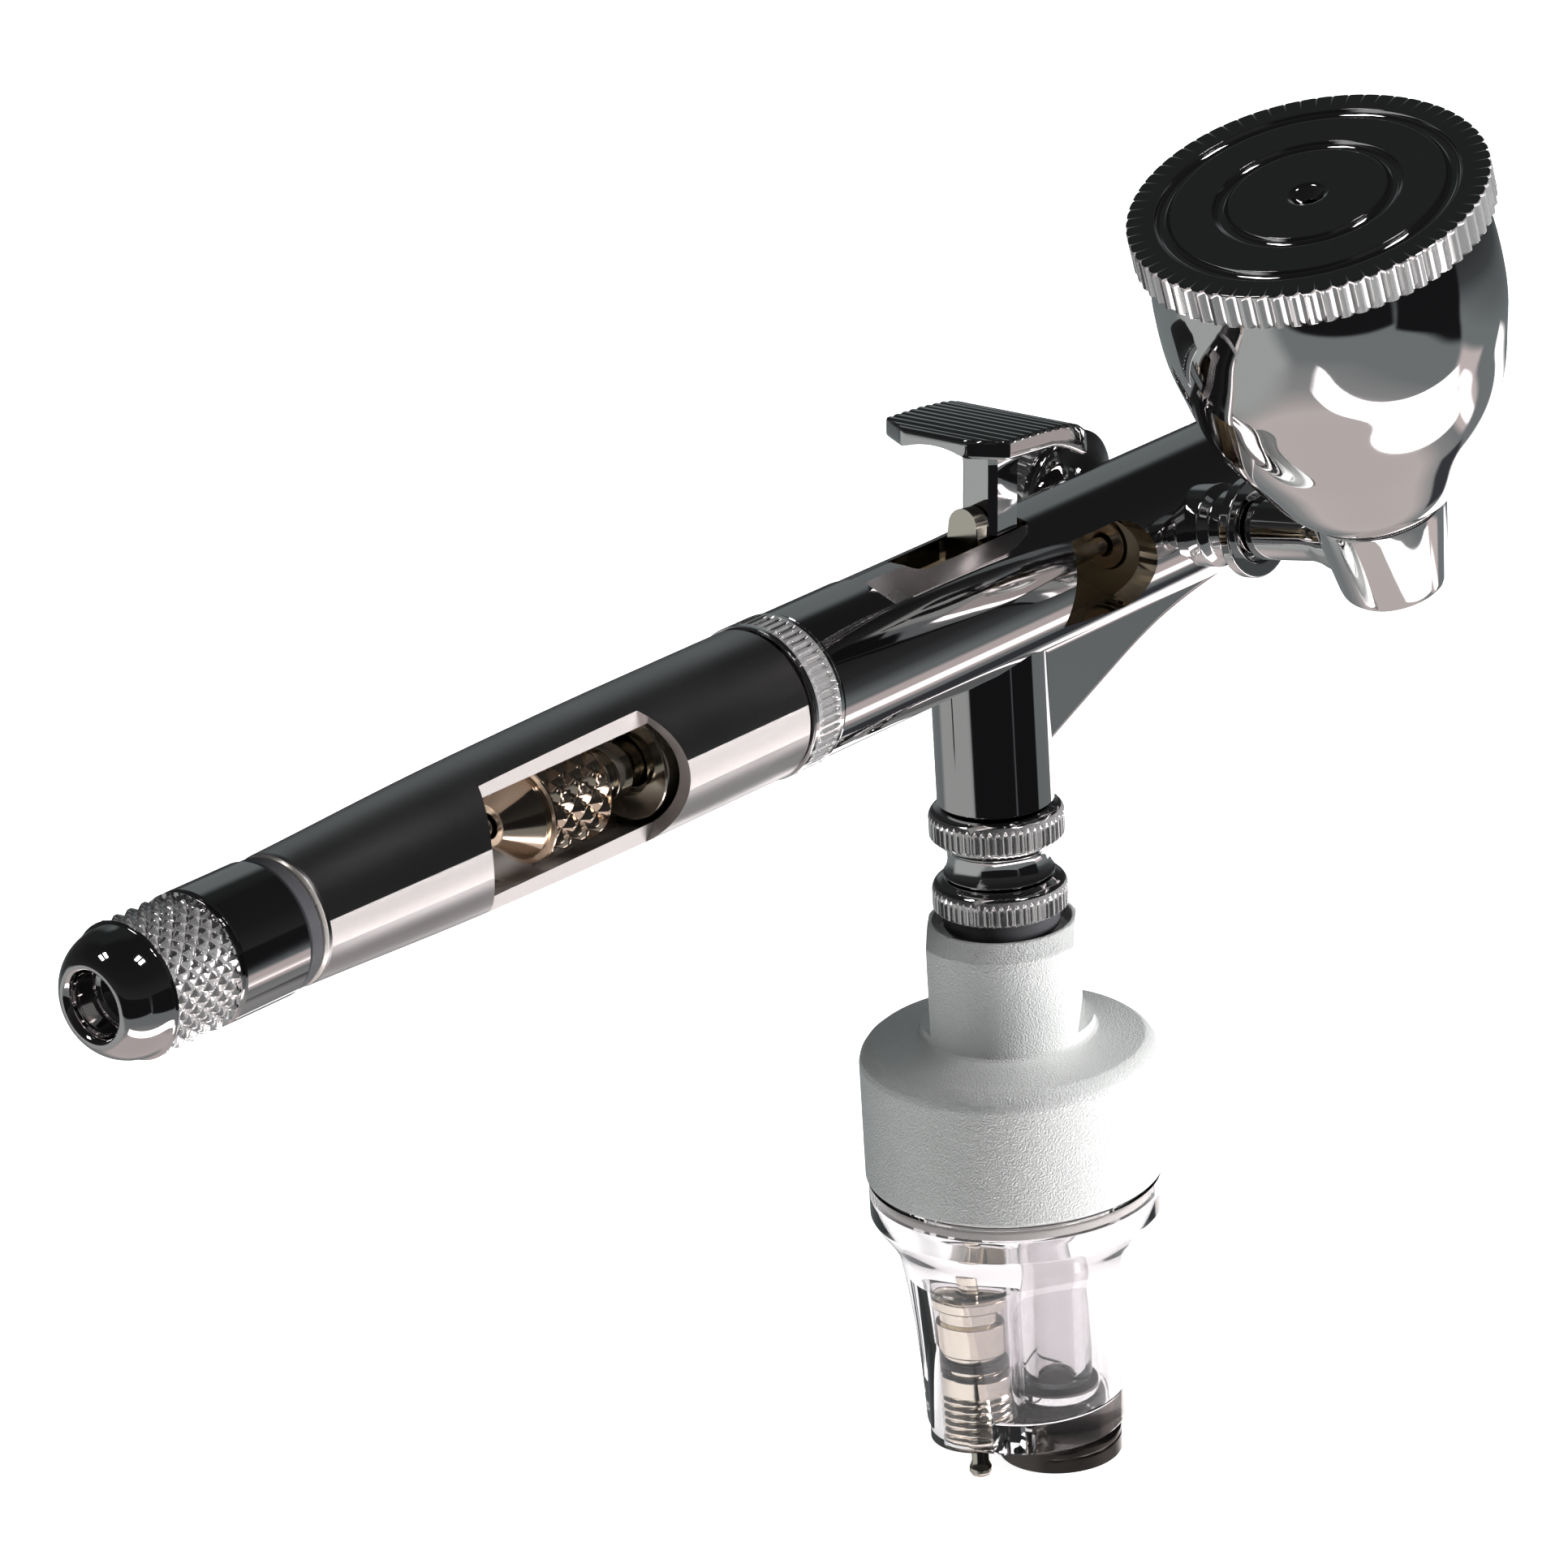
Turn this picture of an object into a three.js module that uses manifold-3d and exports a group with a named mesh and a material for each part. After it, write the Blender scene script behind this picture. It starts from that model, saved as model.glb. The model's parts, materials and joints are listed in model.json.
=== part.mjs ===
// A side-feed, double-action airbrush on a moisture filter.
// The barrel runs along X with the nozzle at +X, the air valve stem hangs down from it, and the filter
// hangs under the stem. Everything is drawn in barrel coordinates, with the valve stem's axis crossing
// the barrel's axis at zero, and the whole group is then moved so that the centre of the air inlet's
// lower face is the origin. Millimetres, +Z up.
import * as THREE from "three";
import { mergeVertices } from "three/addons/utils/BufferGeometryUtils.js";
import Module from "manifold-3d";

const wasm = await Module();
wasm.setup();

// ---------------------------------------------------------------- driving dimensions

const FINE = 20; // sides of the large round pieces
const COARSE = 12; // sides of the small round pieces
const DEGREE = Math.PI / 180;

const BARREL_RADIUS = 6;
const BARREL_BORE = 4.2;
const BARREL_REAR = -24.4;
const BARREL_FRONT = 30;
const SPIGOT_RADIUS = 5;
const SPIGOT_REAR = -33;
const NEEDLE_RADIUS = 0.75;
const NEEDLE_REAR = -64;
const NEEDLE_TIP = 49.5;

const STEM_RADIUS = 4.68;
const STEM_BOTTOM = -16.9;
const VALVE_CHAMBER_RADIUS = 3.1;
const VALVE_CHAMBER_TOP = -7.4;
const VALVE_PASSAGE_RADIUS = 2.4;
const VALVE_SPRING_FOOT = -15.8;
const WEB_THICKNESS = 4.4;
const TRIGGER_CHAMBER_FRONT = 15.4;
const PACKING_BORE = 2.2;
const HEAD_SOCKET_REAR = 25.6;
const HEAD_SOCKET_RADIUS = 4.1;

const SLOT_HALF_WIDTH = 1.9;
const SLOT_REAR = -9.9;
const SLOT_FRONT = 3.25;
const FACET_TILT = 22 * DEGREE; // the two shallow facets beside the slot
const FACET_DEPTH = 5.78; // from the barrel's axis
const FACET_REAR = -15.4;

const TRIGGER_PIVOT_Z = -3.7;
const TRIGGER_LEAN = 5 * DEGREE;
const TRIGGER_FOOT_RADIUS = 0.9;
const STEM_REAR = -1.55;
const STEM_FRONT = 1.95;
const STEM_HALF_WIDTH = 1.75;
const ARM_HALF_DEPTH = 0.9;
const ARM_HALF_WIDTH = 1.6;
const PAD_HALF_WIDTH = 6.2;
const PAD_TOP = 18.3;
const NEEDLE_GAP = 0.95; // half the width of every slot that straddles the needle

const LEVER_PIVOT_X = -2.8;
const LEVER_PIVOT_Z = -3.3;
const LEVER_LEAN = 7 * DEGREE;
const LEVER_HALF_DEPTH = 0.75;

const HANDLE_FRONT = -28.1;
const HANDLE_REAR = -79.8;
const HANDLE_BORE = 4.9;
const WINDOW_DEPTH = -3; // the handle's window removes everything nearer than this along Y
const WINDOW_REAR = -63.2;
const WINDOW_FRONT = -42.1;
const WINDOW_CUTTER = 7.5;

const PORT_X = 21.7; // the paint ports leave the barrel here, one on each side
const PORT_SLOPE = 7.3 * DEGREE; // and rise away from it
const PORT_PASSAGE = 1.5;
const PORT_SOCKET = 2.9;
const PORT_DEPTH = 8;

const CUP_LID_TOP = new THREE.Vector3(12.05, -23.8, 33.18);
const CUP_TILT_BACK = 17.7 * DEGREE;
const CUP_LEAN_OUT = 1.5 * DEGREE;
const CUP_RADIUS = 13.5;
const CUP_WALL = 0.8;
const LID_RADIUS = 14.1;
const LID_THICKNESS = 3;
const BOWL_FOOT = -28.35; // heights below the lid's top
const HUB_BOTTOM = -36.6;
const HUB_CAVITY_RADIUS = 3.3;

const FILTER_TURN = -15.7 * DEGREE; // the line from the drain to the air inlet, seen from above
const COUPLING_RADIUS = 5.45;
const HOUSING_RADIUS = 12.1;
const HOUSING_BOTTOM = -48.8;
const NECK_RADIUS = 7;
const NECK_FLAT = 5.9;
const FLATS_TURN = -39; // degrees from the line of the fittings to the spanner flats
const BOWL_BOTTOM = -70.9;
const INLET_OFFSET = 3.15;
const INLET_RADIUS = 5.1;
const INLET_BOTTOM = -75.3;
const DRAIN_OFFSET = -4.9;
const DRAIN_RADIUS = 2.85;
const DRAIN_BOTTOM = -71.1;
const DRAIN_SPRING_HEAD = -60.8;

// ---------------------------------------------------------------- materials

function finish(color, roughness, metalness, extra = {}) {
  return new THREE.MeshStandardMaterial({ color, roughness, metalness, ...extra });
}

const blackChrome = finish(0x55565a, 0.08, 1);
const chrome = finish(0xc9cacc, 0.06, 1);
const satinChrome = finish(0x4c4d51, 0.3, 1);
const nickel = finish(0xc6b79c, 0.2, 1);
const steel = finish(0xb8babd, 0.18, 1);
const aluminium = finish(0xd2d4d3, 0.45, 1);
const brass = finish(0xb89a5c, 0.25, 1);
const clearPlastic = finish(0xe6eaec, 0.05, 0, { transparent: true, opacity: 0.35 });
const darkMetal = finish(0x2a2624, 0.4, 1);
const rubber = finish(0x17171a, 0.6, 0);
const whitePlastic = finish(0xe9e7e0, 0.5, 0);

// ---------------------------------------------------------------- solid helpers

// A manifold solid from any closed geometry: shared corners merged, slivers dropped, faces outward.
function solidOf(geometry) {
  const bare = geometry.clone();
  for (const name of Object.keys(bare.attributes)) {
    if (name !== "position") bare.deleteAttribute(name);
  }
  const welded = mergeVertices(bare, 1e-4);
  const corners = welded.attributes.position.array;
  const triangles = [];
  for (let i = 0; i < welded.index.count; i += 3) {
    const [a, b, c] = [0, 1, 2].map((k) => welded.index.getX(i + k));
    if (a !== b && b !== c && c !== a) triangles.push([a, b, c]);
  }
  let sixVolumes = 0;
  for (const [a, b, c] of triangles) {
    const [p, q, r] = [a, b, c].map((k) => new THREE.Vector3().fromArray(corners, 3 * k));
    sixVolumes += p.dot(q.cross(r));
  }
  const outward = sixVolumes > 0 ? triangles : triangles.map(([a, b, c]) => [a, c, b]);
  return new wasm.Manifold(
    new wasm.Mesh({
      numProp: 3,
      vertProperties: new Float32Array(corners),
      triVerts: new Uint32Array(outward.flat()),
    })
  );
}

function geometryOf(solid) {
  const result = solid.getMesh();
  const geometry = new THREE.BufferGeometry();
  geometry.setAttribute("position", new THREE.BufferAttribute(new Float32Array(result.vertProperties), 3));
  geometry.setIndex(new THREE.BufferAttribute(new Uint32Array(result.triVerts), 1));
  geometry.computeVertexNormals();
  return geometry;
}

function join(first, ...others) {
  return others.reduce((whole, piece) => whole.add(piece), first);
}

function cut(first, ...tools) {
  return tools.reduce((left, tool) => left.subtract(tool), first);
}

// Frames that take a shape drawn about +Z to another axis.
const UPRIGHT = new THREE.Matrix4();
const ALONG_X = new THREE.Matrix4().makeBasis(
  new THREE.Vector3(0, 1, 0),
  new THREE.Vector3(0, 0, 1),
  new THREE.Vector3(1, 0, 0)
);

// The choices for a small round piece about the barrel's axis.
const alongBarrel = { frame: ALONG_X, sides: COARSE };

// The outward axis of a paint port: side is -1 for the cup's side and +1 for the plugged side.
function portFrame(side) {
  const outward = new THREE.Vector3(0, side * Math.cos(PORT_SLOPE), Math.sin(PORT_SLOPE));
  const across = new THREE.Vector3(1, 0, 0);
  const frame = new THREE.Matrix4().makeBasis(across, outward.clone().cross(across), outward);
  return frame.setPosition(PORT_X, 0, 0);
}

// Turns an outline of [position along the axis, radius] points about the axis of the given frame.
function turned(outline, { sides = FINE, frame = UPRIGHT } = {}) {
  const points = outline.map(([along, radius]) => new THREE.Vector2(radius, along));
  return solidOf(new THREE.LatheGeometry(points, sides).rotateX(Math.PI / 2).applyMatrix4(frame));
}

function rod(from, to, radius, options) {
  return turned([[from, 0], [from, radius], [to, radius], [to, 0]], options);
}

function cone(from, fromRadius, to, toRadius, options) {
  return turned([[from, 0], [from, fromRadius], [to, toRadius], [to, 0]], options);
}

function ring(from, to, inner, outer, options) {
  return turned([[from, inner], [from, outer], [to, outer], [to, inner], [from, inner]], options);
}

function sealRing(at, middle, thickness, options = {}) {
  const { sides = COARSE, frame = UPRIGHT } = options;
  const torus = new THREE.TorusGeometry(middle, thickness, 6, sides).translate(0, 0, at);
  return solidOf(torus.applyMatrix4(frame));
}

function block([x0, y0, z0], [x1, y1, z1]) {
  const box = new THREE.BoxGeometry(x1 - x0, y1 - y0, z1 - z0);
  return solidOf(box.translate((x0 + x1) / 2, (y0 + y1) / 2, (z0 + z1) / 2));
}

// A flat shape drawn in X and Z, given thickness across Y between two values.
function slab(shape, y0, y1, curveSegments = 12) {
  const plate = new THREE.ExtrudeGeometry(shape, { depth: y1 - y0, bevelEnabled: false, curveSegments });
  return solidOf(plate.rotateX(Math.PI / 2).translate(0, y1, 0));
}

function shapeFrom(points) {
  return new THREE.Shape(points.map(([x, z]) => new THREE.Vector2(x, z)));
}

class Helix extends THREE.Curve {
  constructor(from, to, radius, turns) {
    super();
    Object.assign(this, { from, to, radius, turns });
  }

  getPoint(t, target = new THREE.Vector3()) {
    const angle = 2 * Math.PI * this.turns * t;
    const along = THREE.MathUtils.lerp(this.from, this.to, t);
    return target.set(this.radius * Math.cos(angle), this.radius * Math.sin(angle), along);
  }
}

function coilSpring(from, to, radius, wire, turns, frame = UPRIGHT) {
  const section = new THREE.Shape();
  section.absarc(0, 0, wire, 0, 2 * Math.PI);
  const path = new Helix(from, to, radius, turns);
  const options = { extrudePath: path, steps: turns * 8, curveSegments: 2, bevelEnabled: false };
  return solidOf(new THREE.ExtrudeGeometry(section, options).applyMatrix4(frame));
}

const airbrush = new THREE.Group();
const filterTurned = new THREE.Group();
filterTurned.rotation.z = FILTER_TURN;
airbrush.add(filterTurned);

function addPiece(name, solid, material, parent = airbrush) {
  const mesh = new THREE.Mesh(geometryOf(solid), material);
  mesh.name = name;
  parent.add(mesh);
  return mesh;
}

// ---------------------------------------------------------------- barrel, stem and web

function webUnderBarrel() {
  const shape = new THREE.Shape();
  shape.moveTo(3, -4.6);
  shape.lineTo(3, -14.2);
  shape.lineTo(15.5, -9);
  shape.quadraticCurveTo(21, -6.7, 29.5, -5.7);
  shape.lineTo(29.5, -4.6);
  return slab(shape, -WEB_THICKNESS / 2, WEB_THICKNESS / 2, 10);
}

// The bullet-shaped opening on the cup's side, just ahead of the trigger.
function sideOpening() {
  const shape = new THREE.Shape();
  const [noseX, noseZ, noseRadius] = [10.9, 0.35, 3.55];
  shape.moveTo(2.8, -2.3);
  shape.lineTo(noseX, noseZ - noseRadius);
  shape.absarc(noseX, noseZ, noseRadius, -Math.PI / 2, Math.PI / 2);
  shape.lineTo(5.4, noseZ + noseRadius);
  return slab(shape, -BARREL_RADIUS - 1, -1.4, 8);
}

// The air drilling from the valve chamber, through the web, to the chamber behind the nozzle cap.
function airDrilling() {
  const start = new THREE.Vector3(1.5, 0, -9.5);
  const end = new THREE.Vector3(27, 0, -3.4);
  const length = end.distanceTo(start);
  const drill = new THREE.CylinderGeometry(0.6, 0.6, length, 10).translate(0, length / 2, 0);
  const turn = new THREE.Quaternion().setFromUnitVectors(
    new THREE.Vector3(0, 1, 0),
    end.clone().sub(start).normalize()
  );
  return solidOf(drill.applyQuaternion(turn).translate(start.x, start.y, start.z));
}

// A shallow facet milled along the slot, on the side given by the sign.
function facetBesideSlot(side) {
  const upright = block([FACET_REAR, -3, FACET_DEPTH], [SLOT_FRONT + 0.1, 3, BARREL_RADIUS + 1]);
  return upright.rotate([(side * -FACET_TILT) / DEGREE, 0, 0]);
}

function mainBody() {
  const tube = turned(
    [
      [SPIGOT_REAR, 0], [SPIGOT_REAR, SPIGOT_RADIUS], [BARREL_REAR, SPIGOT_RADIUS],
      [BARREL_REAR, BARREL_RADIUS], [BARREL_FRONT, BARREL_RADIUS], [BARREL_FRONT, 0],
    ],
    { frame: ALONG_X }
  );
  const stem = rod(STEM_BOTTOM, -4.3, STEM_RADIUS);
  const outside = join(tube, stem, webUnderBarrel());
  return cut(
    outside,
    rod(SPIGOT_REAR - 1, TRIGGER_CHAMBER_FRONT, BARREL_BORE, { frame: ALONG_X }),
    rod(TRIGGER_CHAMBER_FRONT - 0.4, 18.6, PACKING_BORE, alongBarrel),
    rod(18, BARREL_FRONT + 1, PORT_PASSAGE, alongBarrel),
    rod(HEAD_SOCKET_REAR, BARREL_FRONT + 1, HEAD_SOCKET_RADIUS, { frame: ALONG_X }),
    rod(VALVE_CHAMBER_TOP - 1, -3, VALVE_PASSAGE_RADIUS, { sides: COARSE }),
    rod(STEM_BOTTOM - 1, VALVE_CHAMBER_TOP, VALVE_CHAMBER_RADIUS),
    ...[-1, 1].map((side) => rod(1, PORT_DEPTH, PORT_PASSAGE, { frame: portFrame(side), sides: COARSE })),
    ...[-1, 1].map((side) => rod(3, PORT_DEPTH, PORT_SOCKET, { frame: portFrame(side), sides: COARSE })),
    airDrilling(),
    sideOpening(),
    block([SLOT_REAR, -SLOT_HALF_WIDTH, 2], [SLOT_FRONT, SLOT_HALF_WIDTH, BARREL_RADIUS + 1]),
    facetBesideSlot(-1),
    facetBesideSlot(1)
  );
}

addPiece("main_body", mainBody(), blackChrome);
addPiece("rear_collar", ring(-27.95, -24.55, 5.2, 6.15, { frame: ALONG_X }), chrome);

// ---------------------------------------------------------------- paint ports

// A double-flanged bush is soldered into the cup's side and a bell-shaped one into the other.
function portBush(outline, side) {
  const frame = portFrame(side);
  const barrelRoom = rod(0, 45, BARREL_RADIUS + 0.25, { frame: ALONG_X });
  const flanges = turned(outline, { frame, sides: FINE }).subtract(barrelRoom);
  const spigot = rod(3.3, 7, 2.55, { frame, sides: COARSE });
  return cut(join(flanges, spigot), rod(3, 16, 2.1, { frame, sides: COARSE }));
}

const cupBushOutline = [
  [4, 0], [4, 3.4], [7.2, 3.4], [7.7, 2.75], [9.2, 2.75], [9.8, 4.1], [10.8, 4.1], [10.8, 0],
];
const plugBushOutline = [[4, 0], [4, 3.1], [6.8, 3.1], [8.4, 5.2], [9, 5.2], [9, 0]];

addPiece("cup_port_bush", portBush(cupBushOutline, -1), chrome);
addPiece("plug_port_bush", portBush(plugBushOutline, 1), blackChrome);
addPiece("plug_gasket", ring(9.1, 9.4, 2.2, 3.9, { frame: portFrame(1), sides: COARSE }), whitePlastic);
addPiece(
  "port_plug",
  join(
    turned([[9.5, 0], [9.5, 4.4], [9.8, 4.7], [12.5, 4.7], [13, 4.2], [13, 0]], { frame: portFrame(1) }),
    rod(4.2, 9.7, 1.75, { frame: portFrame(1), sides: COARSE })
  ),
  blackChrome
);

// ---------------------------------------------------------------- needle and what draws it back

addPiece(
  "needle",
  turned(
    [[NEEDLE_REAR, 0], [NEEDLE_REAR, NEEDLE_RADIUS], [36, NEEDLE_RADIUS], [NEEDLE_TIP, 0]],
    { frame: ALONG_X, sides: 12 }
  ),
  steel
);
addPiece(
  "chucking_guide",
  turned(
    [
      [-47.2, 1], [-47.2, 1.7], [-45.8, 1.7], [-45.8, 2.2], [-44.2, 2.2], [-44.2, 1.7], [-15, 1.7],
      [-15, 2.6], [-14, 2.6], [-14, 1.7], [-5.1, 1.7], [-5.1, 2.6], [-3.9, 2.6], [-3.9, 1], [-47.2, 1],
    ],
    alongBarrel
  ),
  nickel
);
addPiece(
  "chuck_nut",
  turned(
    [
      [-57.8, 1], [-57.8, 1.6], [-55.1, 3.7], [-54.7, 4], [-48.7, 4], [-48.3, 2.8],
      [-47.4, 2.8], [-47.4, 1], [-57.8, 1],
    ],
    { frame: ALONG_X }
  ),
  brass
);
addPiece("needle_spring", coilSpring(-38.9, -15.5, 2.3, 0.3, 8, ALONG_X), steel);
addPiece(
  "spring_case",
  turned(
    [
      [-43, 2.5], [-43, 4.4], [-40.5, 4.4], [-40.5, 3.9], [-11, 3.9], [-11, 2.95], [-39.3, 2.95],
      [-39.3, 2], [-42.2, 2], [-42.2, 2.5], [-43, 2.5],
    ],
    { frame: ALONG_X }
  ),
  nickel
);

function auxiliaryLever() {
  const foot = LEVER_PIVOT_Z;
  const wide = new THREE.Shape();
  wide.moveTo(-2, foot + 0.6);
  wide.quadraticCurveTo(-1.8, foot - 0.3, -0.8, foot - 0.3);
  wide.lineTo(0.8, foot - 0.3);
  wide.quadraticCurveTo(1.8, foot - 0.3, 2, foot + 0.6);
  wide.lineTo(2, 2.8);
  wide.lineTo(1.4, 3.3);
  wide.lineTo(1.4, 6.6);
  wide.absarc(0, 6.6, 1.4, 0, Math.PI);
  wide.lineTo(-1.4, 3.3);
  wide.lineTo(-2, 2.8);
  // The outline is drawn across Y and Z, so the slab is turned a quarter about Z.
  const plate = slab(wide, -LEVER_HALF_DEPTH, LEVER_HALF_DEPTH, 6).rotate([0, 0, 90]);
  const needleSlot = block([-1, -NEEDLE_GAP, -1.3], [1, NEEDLE_GAP, 2.2]);
  return plate
    .subtract(needleSlot)
    .translate([0, 0, -LEVER_PIVOT_Z])
    .rotate([0, LEVER_LEAN / DEGREE, 0])
    .translate([LEVER_PIVOT_X, 0, LEVER_PIVOT_Z]);
}

addPiece("auxiliary_lever", auxiliaryLever(), nickel);
addPiece("needle_packing", ring(17, 18.4, NEEDLE_RADIUS + 0.15, 2.0, alongBarrel), whitePlastic);
addPiece("packing_screw", ring(15, 16.8, NEEDLE_RADIUS + 0.25, 2.0, alongBarrel), brass);

// ---------------------------------------------------------------- trigger

// Drawn upright about its foot, then leaned forward to its rest position.
function triggerSolid() {
  const arms = shapeFrom([
    [-0.6, -0.5], [0.6, -0.5], [ARM_HALF_DEPTH, 0], [ARM_HALF_DEPTH, 8.6], [-ARM_HALF_DEPTH, 8.6],
    [-ARM_HALF_DEPTH, 0],
  ]);
  const stem = shapeFrom([
    [ARM_HALF_DEPTH, 7.9], [STEM_FRONT, 8.9], [STEM_FRONT, 13.6], [2.6, 15.4], [4.2, 16.5], [4.2, 17.2],
    [-4, 17.2], [-4, 16.8], [-2.1, 16], [STEM_REAR, 14.4], [STEM_REAR, 8.9], [-ARM_HALF_DEPTH, 7.9],
  ]);
  const pad = new THREE.Shape();
  pad.moveTo(-6.95, PAD_TOP - 0.1);
  pad.quadraticCurveTo(-2, PAD_TOP + 0.2, 1.6, PAD_TOP);
  pad.quadraticCurveTo(4.1, PAD_TOP - 0.1, 4.7, PAD_TOP - 1.1);
  pad.lineTo(4.6, PAD_TOP - 3);
  pad.quadraticCurveTo(3, PAD_TOP - 1.75, 0.6, PAD_TOP - 1.6);
  pad.lineTo(-6.9, PAD_TOP - 1.6);
  const foot = rod(-ARM_HALF_WIDTH, ARM_HALF_WIDTH, TRIGGER_FOOT_RADIUS, { sides: COARSE });
  const whole = join(
    slab(arms, -ARM_HALF_WIDTH, ARM_HALF_WIDTH),
    slab(stem, -STEM_HALF_WIDTH, STEM_HALF_WIDTH),
    slab(pad, -PAD_HALF_WIDTH, PAD_HALF_WIDTH, 6),
    foot.rotate([90, 0, 0])
  );
  const needleSlot = block([-3, -NEEDLE_GAP, 2.3], [3, NEEDLE_GAP, 7.9]);
  const corners = [-1, 1].map((side) =>
    slab(shapeFrom([[-8, 3.2], [-6.95, 3.2], [-5.1, 6.2], [-5.1, 8], [-8, 8]]), -1, 1)
      .rotate([90, 0, 0])
      .scale([1, side, 18])
      .translate([0, 0, PAD_TOP - 1])
  );
  return cut(whole, needleSlot, ...corners);
}

const trigger = addPiece("trigger", triggerSolid(), chrome);
trigger.position.z = TRIGGER_PIVOT_Z;
trigger.rotation.y = TRIGGER_LEAN;

// ---------------------------------------------------------------- air valve

addPiece(
  "valve_plunger",
  turned(
    [
      [-12.3, 0], [-12.3, 2.3], [-11.6, 2.3], [-11.6, 0.9], [-5.5, 0.9], [-5.5, 1.9], [-4.7, 1.9], [-4.7, 0],
    ],
    { sides: COARSE }
  ),
  steel
);
addPiece("valve_packing", ring(-8.4, -7.5, 1.1, 2.95, { sides: COARSE }), whitePlastic);
addPiece("valve_seat", ring(-10.9, -10.2, 1.6, 2.95, { sides: COARSE }), brass);
addPiece("valve_o_ring", sealRing(-11.25, 1.6, 0.27), rubber);
addPiece("valve_spring", coilSpring(VALVE_SPRING_FOOT, -12.6, 1.8, 0.2, 3), steel);
addPiece("valve_retaining_screw", ring(-16.85, -16.1, 1, 2.95, { sides: COARSE }), brass);

// ---------------------------------------------------------------- head, nozzle and caps

addPiece("head_gasket", ring(30.1, 30.7, 4.1, 5.3, { frame: ALONG_X }), whitePlastic);
addPiece(
  "fluid_head",
  turned(
    [
      [26, 1.3], [26, 3.8], [30.8, 3.8], [30.8, 6], [33.2, 6], [33.6, 4.4], [37.4, 4.4], [37.4, 2.3],
      [34, 2.3], [34, 1.3], [26, 1.3],
    ],
    { frame: ALONG_X }
  ),
  blackChrome
);
addPiece(
  "nozzle",
  turned(
    [
      [34.2, 1.05], [34.2, 2], [37.6, 2], [37.6, 2.5], [38.4, 2.5], [38.4, 1.7], [47.4, 0.75],
      [47.4, 0.4], [36, 1.05], [34.2, 1.05],
    ],
    alongBarrel
  ),
  brass
);
addPiece(
  "nozzle_cap",
  turned(
    [
      [33.9, 4.7], [33.9, 5.9], [38.6, 5.9], [39.4, 5.3], [44, 2.5], [47.9, 2.4], [47.9, 1.05],
      [46.6, 1.3], [38.9, 3.6], [38.3, 4.7], [33.9, 4.7],
    ],
    { frame: ALONG_X }
  ),
  chrome
);
addPiece(
  "needle_cap",
  turned(
    [[44.8, 2.7], [44.8, 3.5], [50.4, 3.1], [51, 2.8], [51, 1.8], [50, 1.8], [49.6, 2.7], [44.8, 2.7]],
    alongBarrel
  ),
  chrome
);

// ---------------------------------------------------------------- handle and preset knob

function handleSolid() {
  const shell = turned(
    [
      [HANDLE_REAR, 0], [HANDLE_REAR, 4.9], [-75, 5.18], [-68, 5.48], [-61, 5.72], [-54, 5.84],
      [-45, BARREL_RADIUS], [HANDLE_FRONT, BARREL_RADIUS], [HANDLE_FRONT, 0],
    ],
    { frame: ALONG_X }
  );
  const window = new THREE.Shape();
  const sweep = 60 * DEGREE;
  window.absarc(WINDOW_REAR + WINDOW_CUTTER, 0, WINDOW_CUTTER, Math.PI - sweep, Math.PI + sweep);
  window.absarc(WINDOW_FRONT - WINDOW_CUTTER, 0, WINDOW_CUTTER, -sweep, sweep);
  return cut(
    shell,
    rod(SPIGOT_REAR - 0.4, HANDLE_FRONT + 1, 5.2, { frame: ALONG_X }),
    rod(-64.8, SPIGOT_REAR, HANDLE_BORE, { frame: ALONG_X }),
    rod(-71.5, -64, 3.2, { frame: ALONG_X }),
    rod(HANDLE_REAR - 1, -71, 1.5, alongBarrel),
    slab(window, -BARREL_RADIUS - 1, WINDOW_DEPTH, 6)
  );
}

addPiece("handle", handleSolid(), satinChrome);
addPiece("knob_friction_ring", ring(-81.3, -79.95, 1.6, 4.95, { frame: ALONG_X }), rubber);
addPiece(
  "preset_knob",
  cut(
    turned(
      [
        [-97.9, 0], [-97.9, 2.8], [-97.4, 3.7], [-96.2, 4.5], [-94.8, 4.9], [-94.4, 5.1], [-88.4, 5.1],
        [-88, 4.8], [-87.6, 5.2], [-87, 5.6], [-82.2, 5.6], [-81.6, 5.35], [-81.4, 5], [-81.4, 0],
      ],
      { frame: ALONG_X }
    ),
    rod(-99, -94.9, 2.4, alongBarrel),
    rod(-92.5, -80, 1.5, alongBarrel)
  ),
  blackChrome
);
addPiece("needle_stop_rod", rod(-91.5, -71.2, 1.2, alongBarrel), steel);

// ---------------------------------------------------------------- side cup

const cupFrame = new THREE.Matrix4()
  .makeRotationFromEuler(new THREE.Euler(CUP_LEAN_OUT, -CUP_TILT_BACK, 0, "XYZ"))
  .setPosition(CUP_LID_TOP);
const cup = new THREE.Group();
cup.applyMatrix4(cupFrame);
airbrush.add(cup);

// In the cup's own frame the lid's top is at zero and the bowl hangs below it.
const bowlWall = new THREE.SplineCurve(
  [[13.5, -10.6], [12.9, -14], [11.9, -18.3], [10.1, -22.1], [7.8, -26], [5.5, BOWL_FOOT]].map(
    ([radius, height]) => new THREE.Vector2(radius, height)
  )
).getPoints(6);

function cupBowl() {
  const outside = [[-3.3, CUP_RADIUS], ...bowlWall.map((p) => [p.y, p.x])];
  const inside = outside.map(([height, radius]) => [height, radius - CUP_WALL]).reverse();
  return turned([...outside, ...inside, outside[0]]);
}

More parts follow.
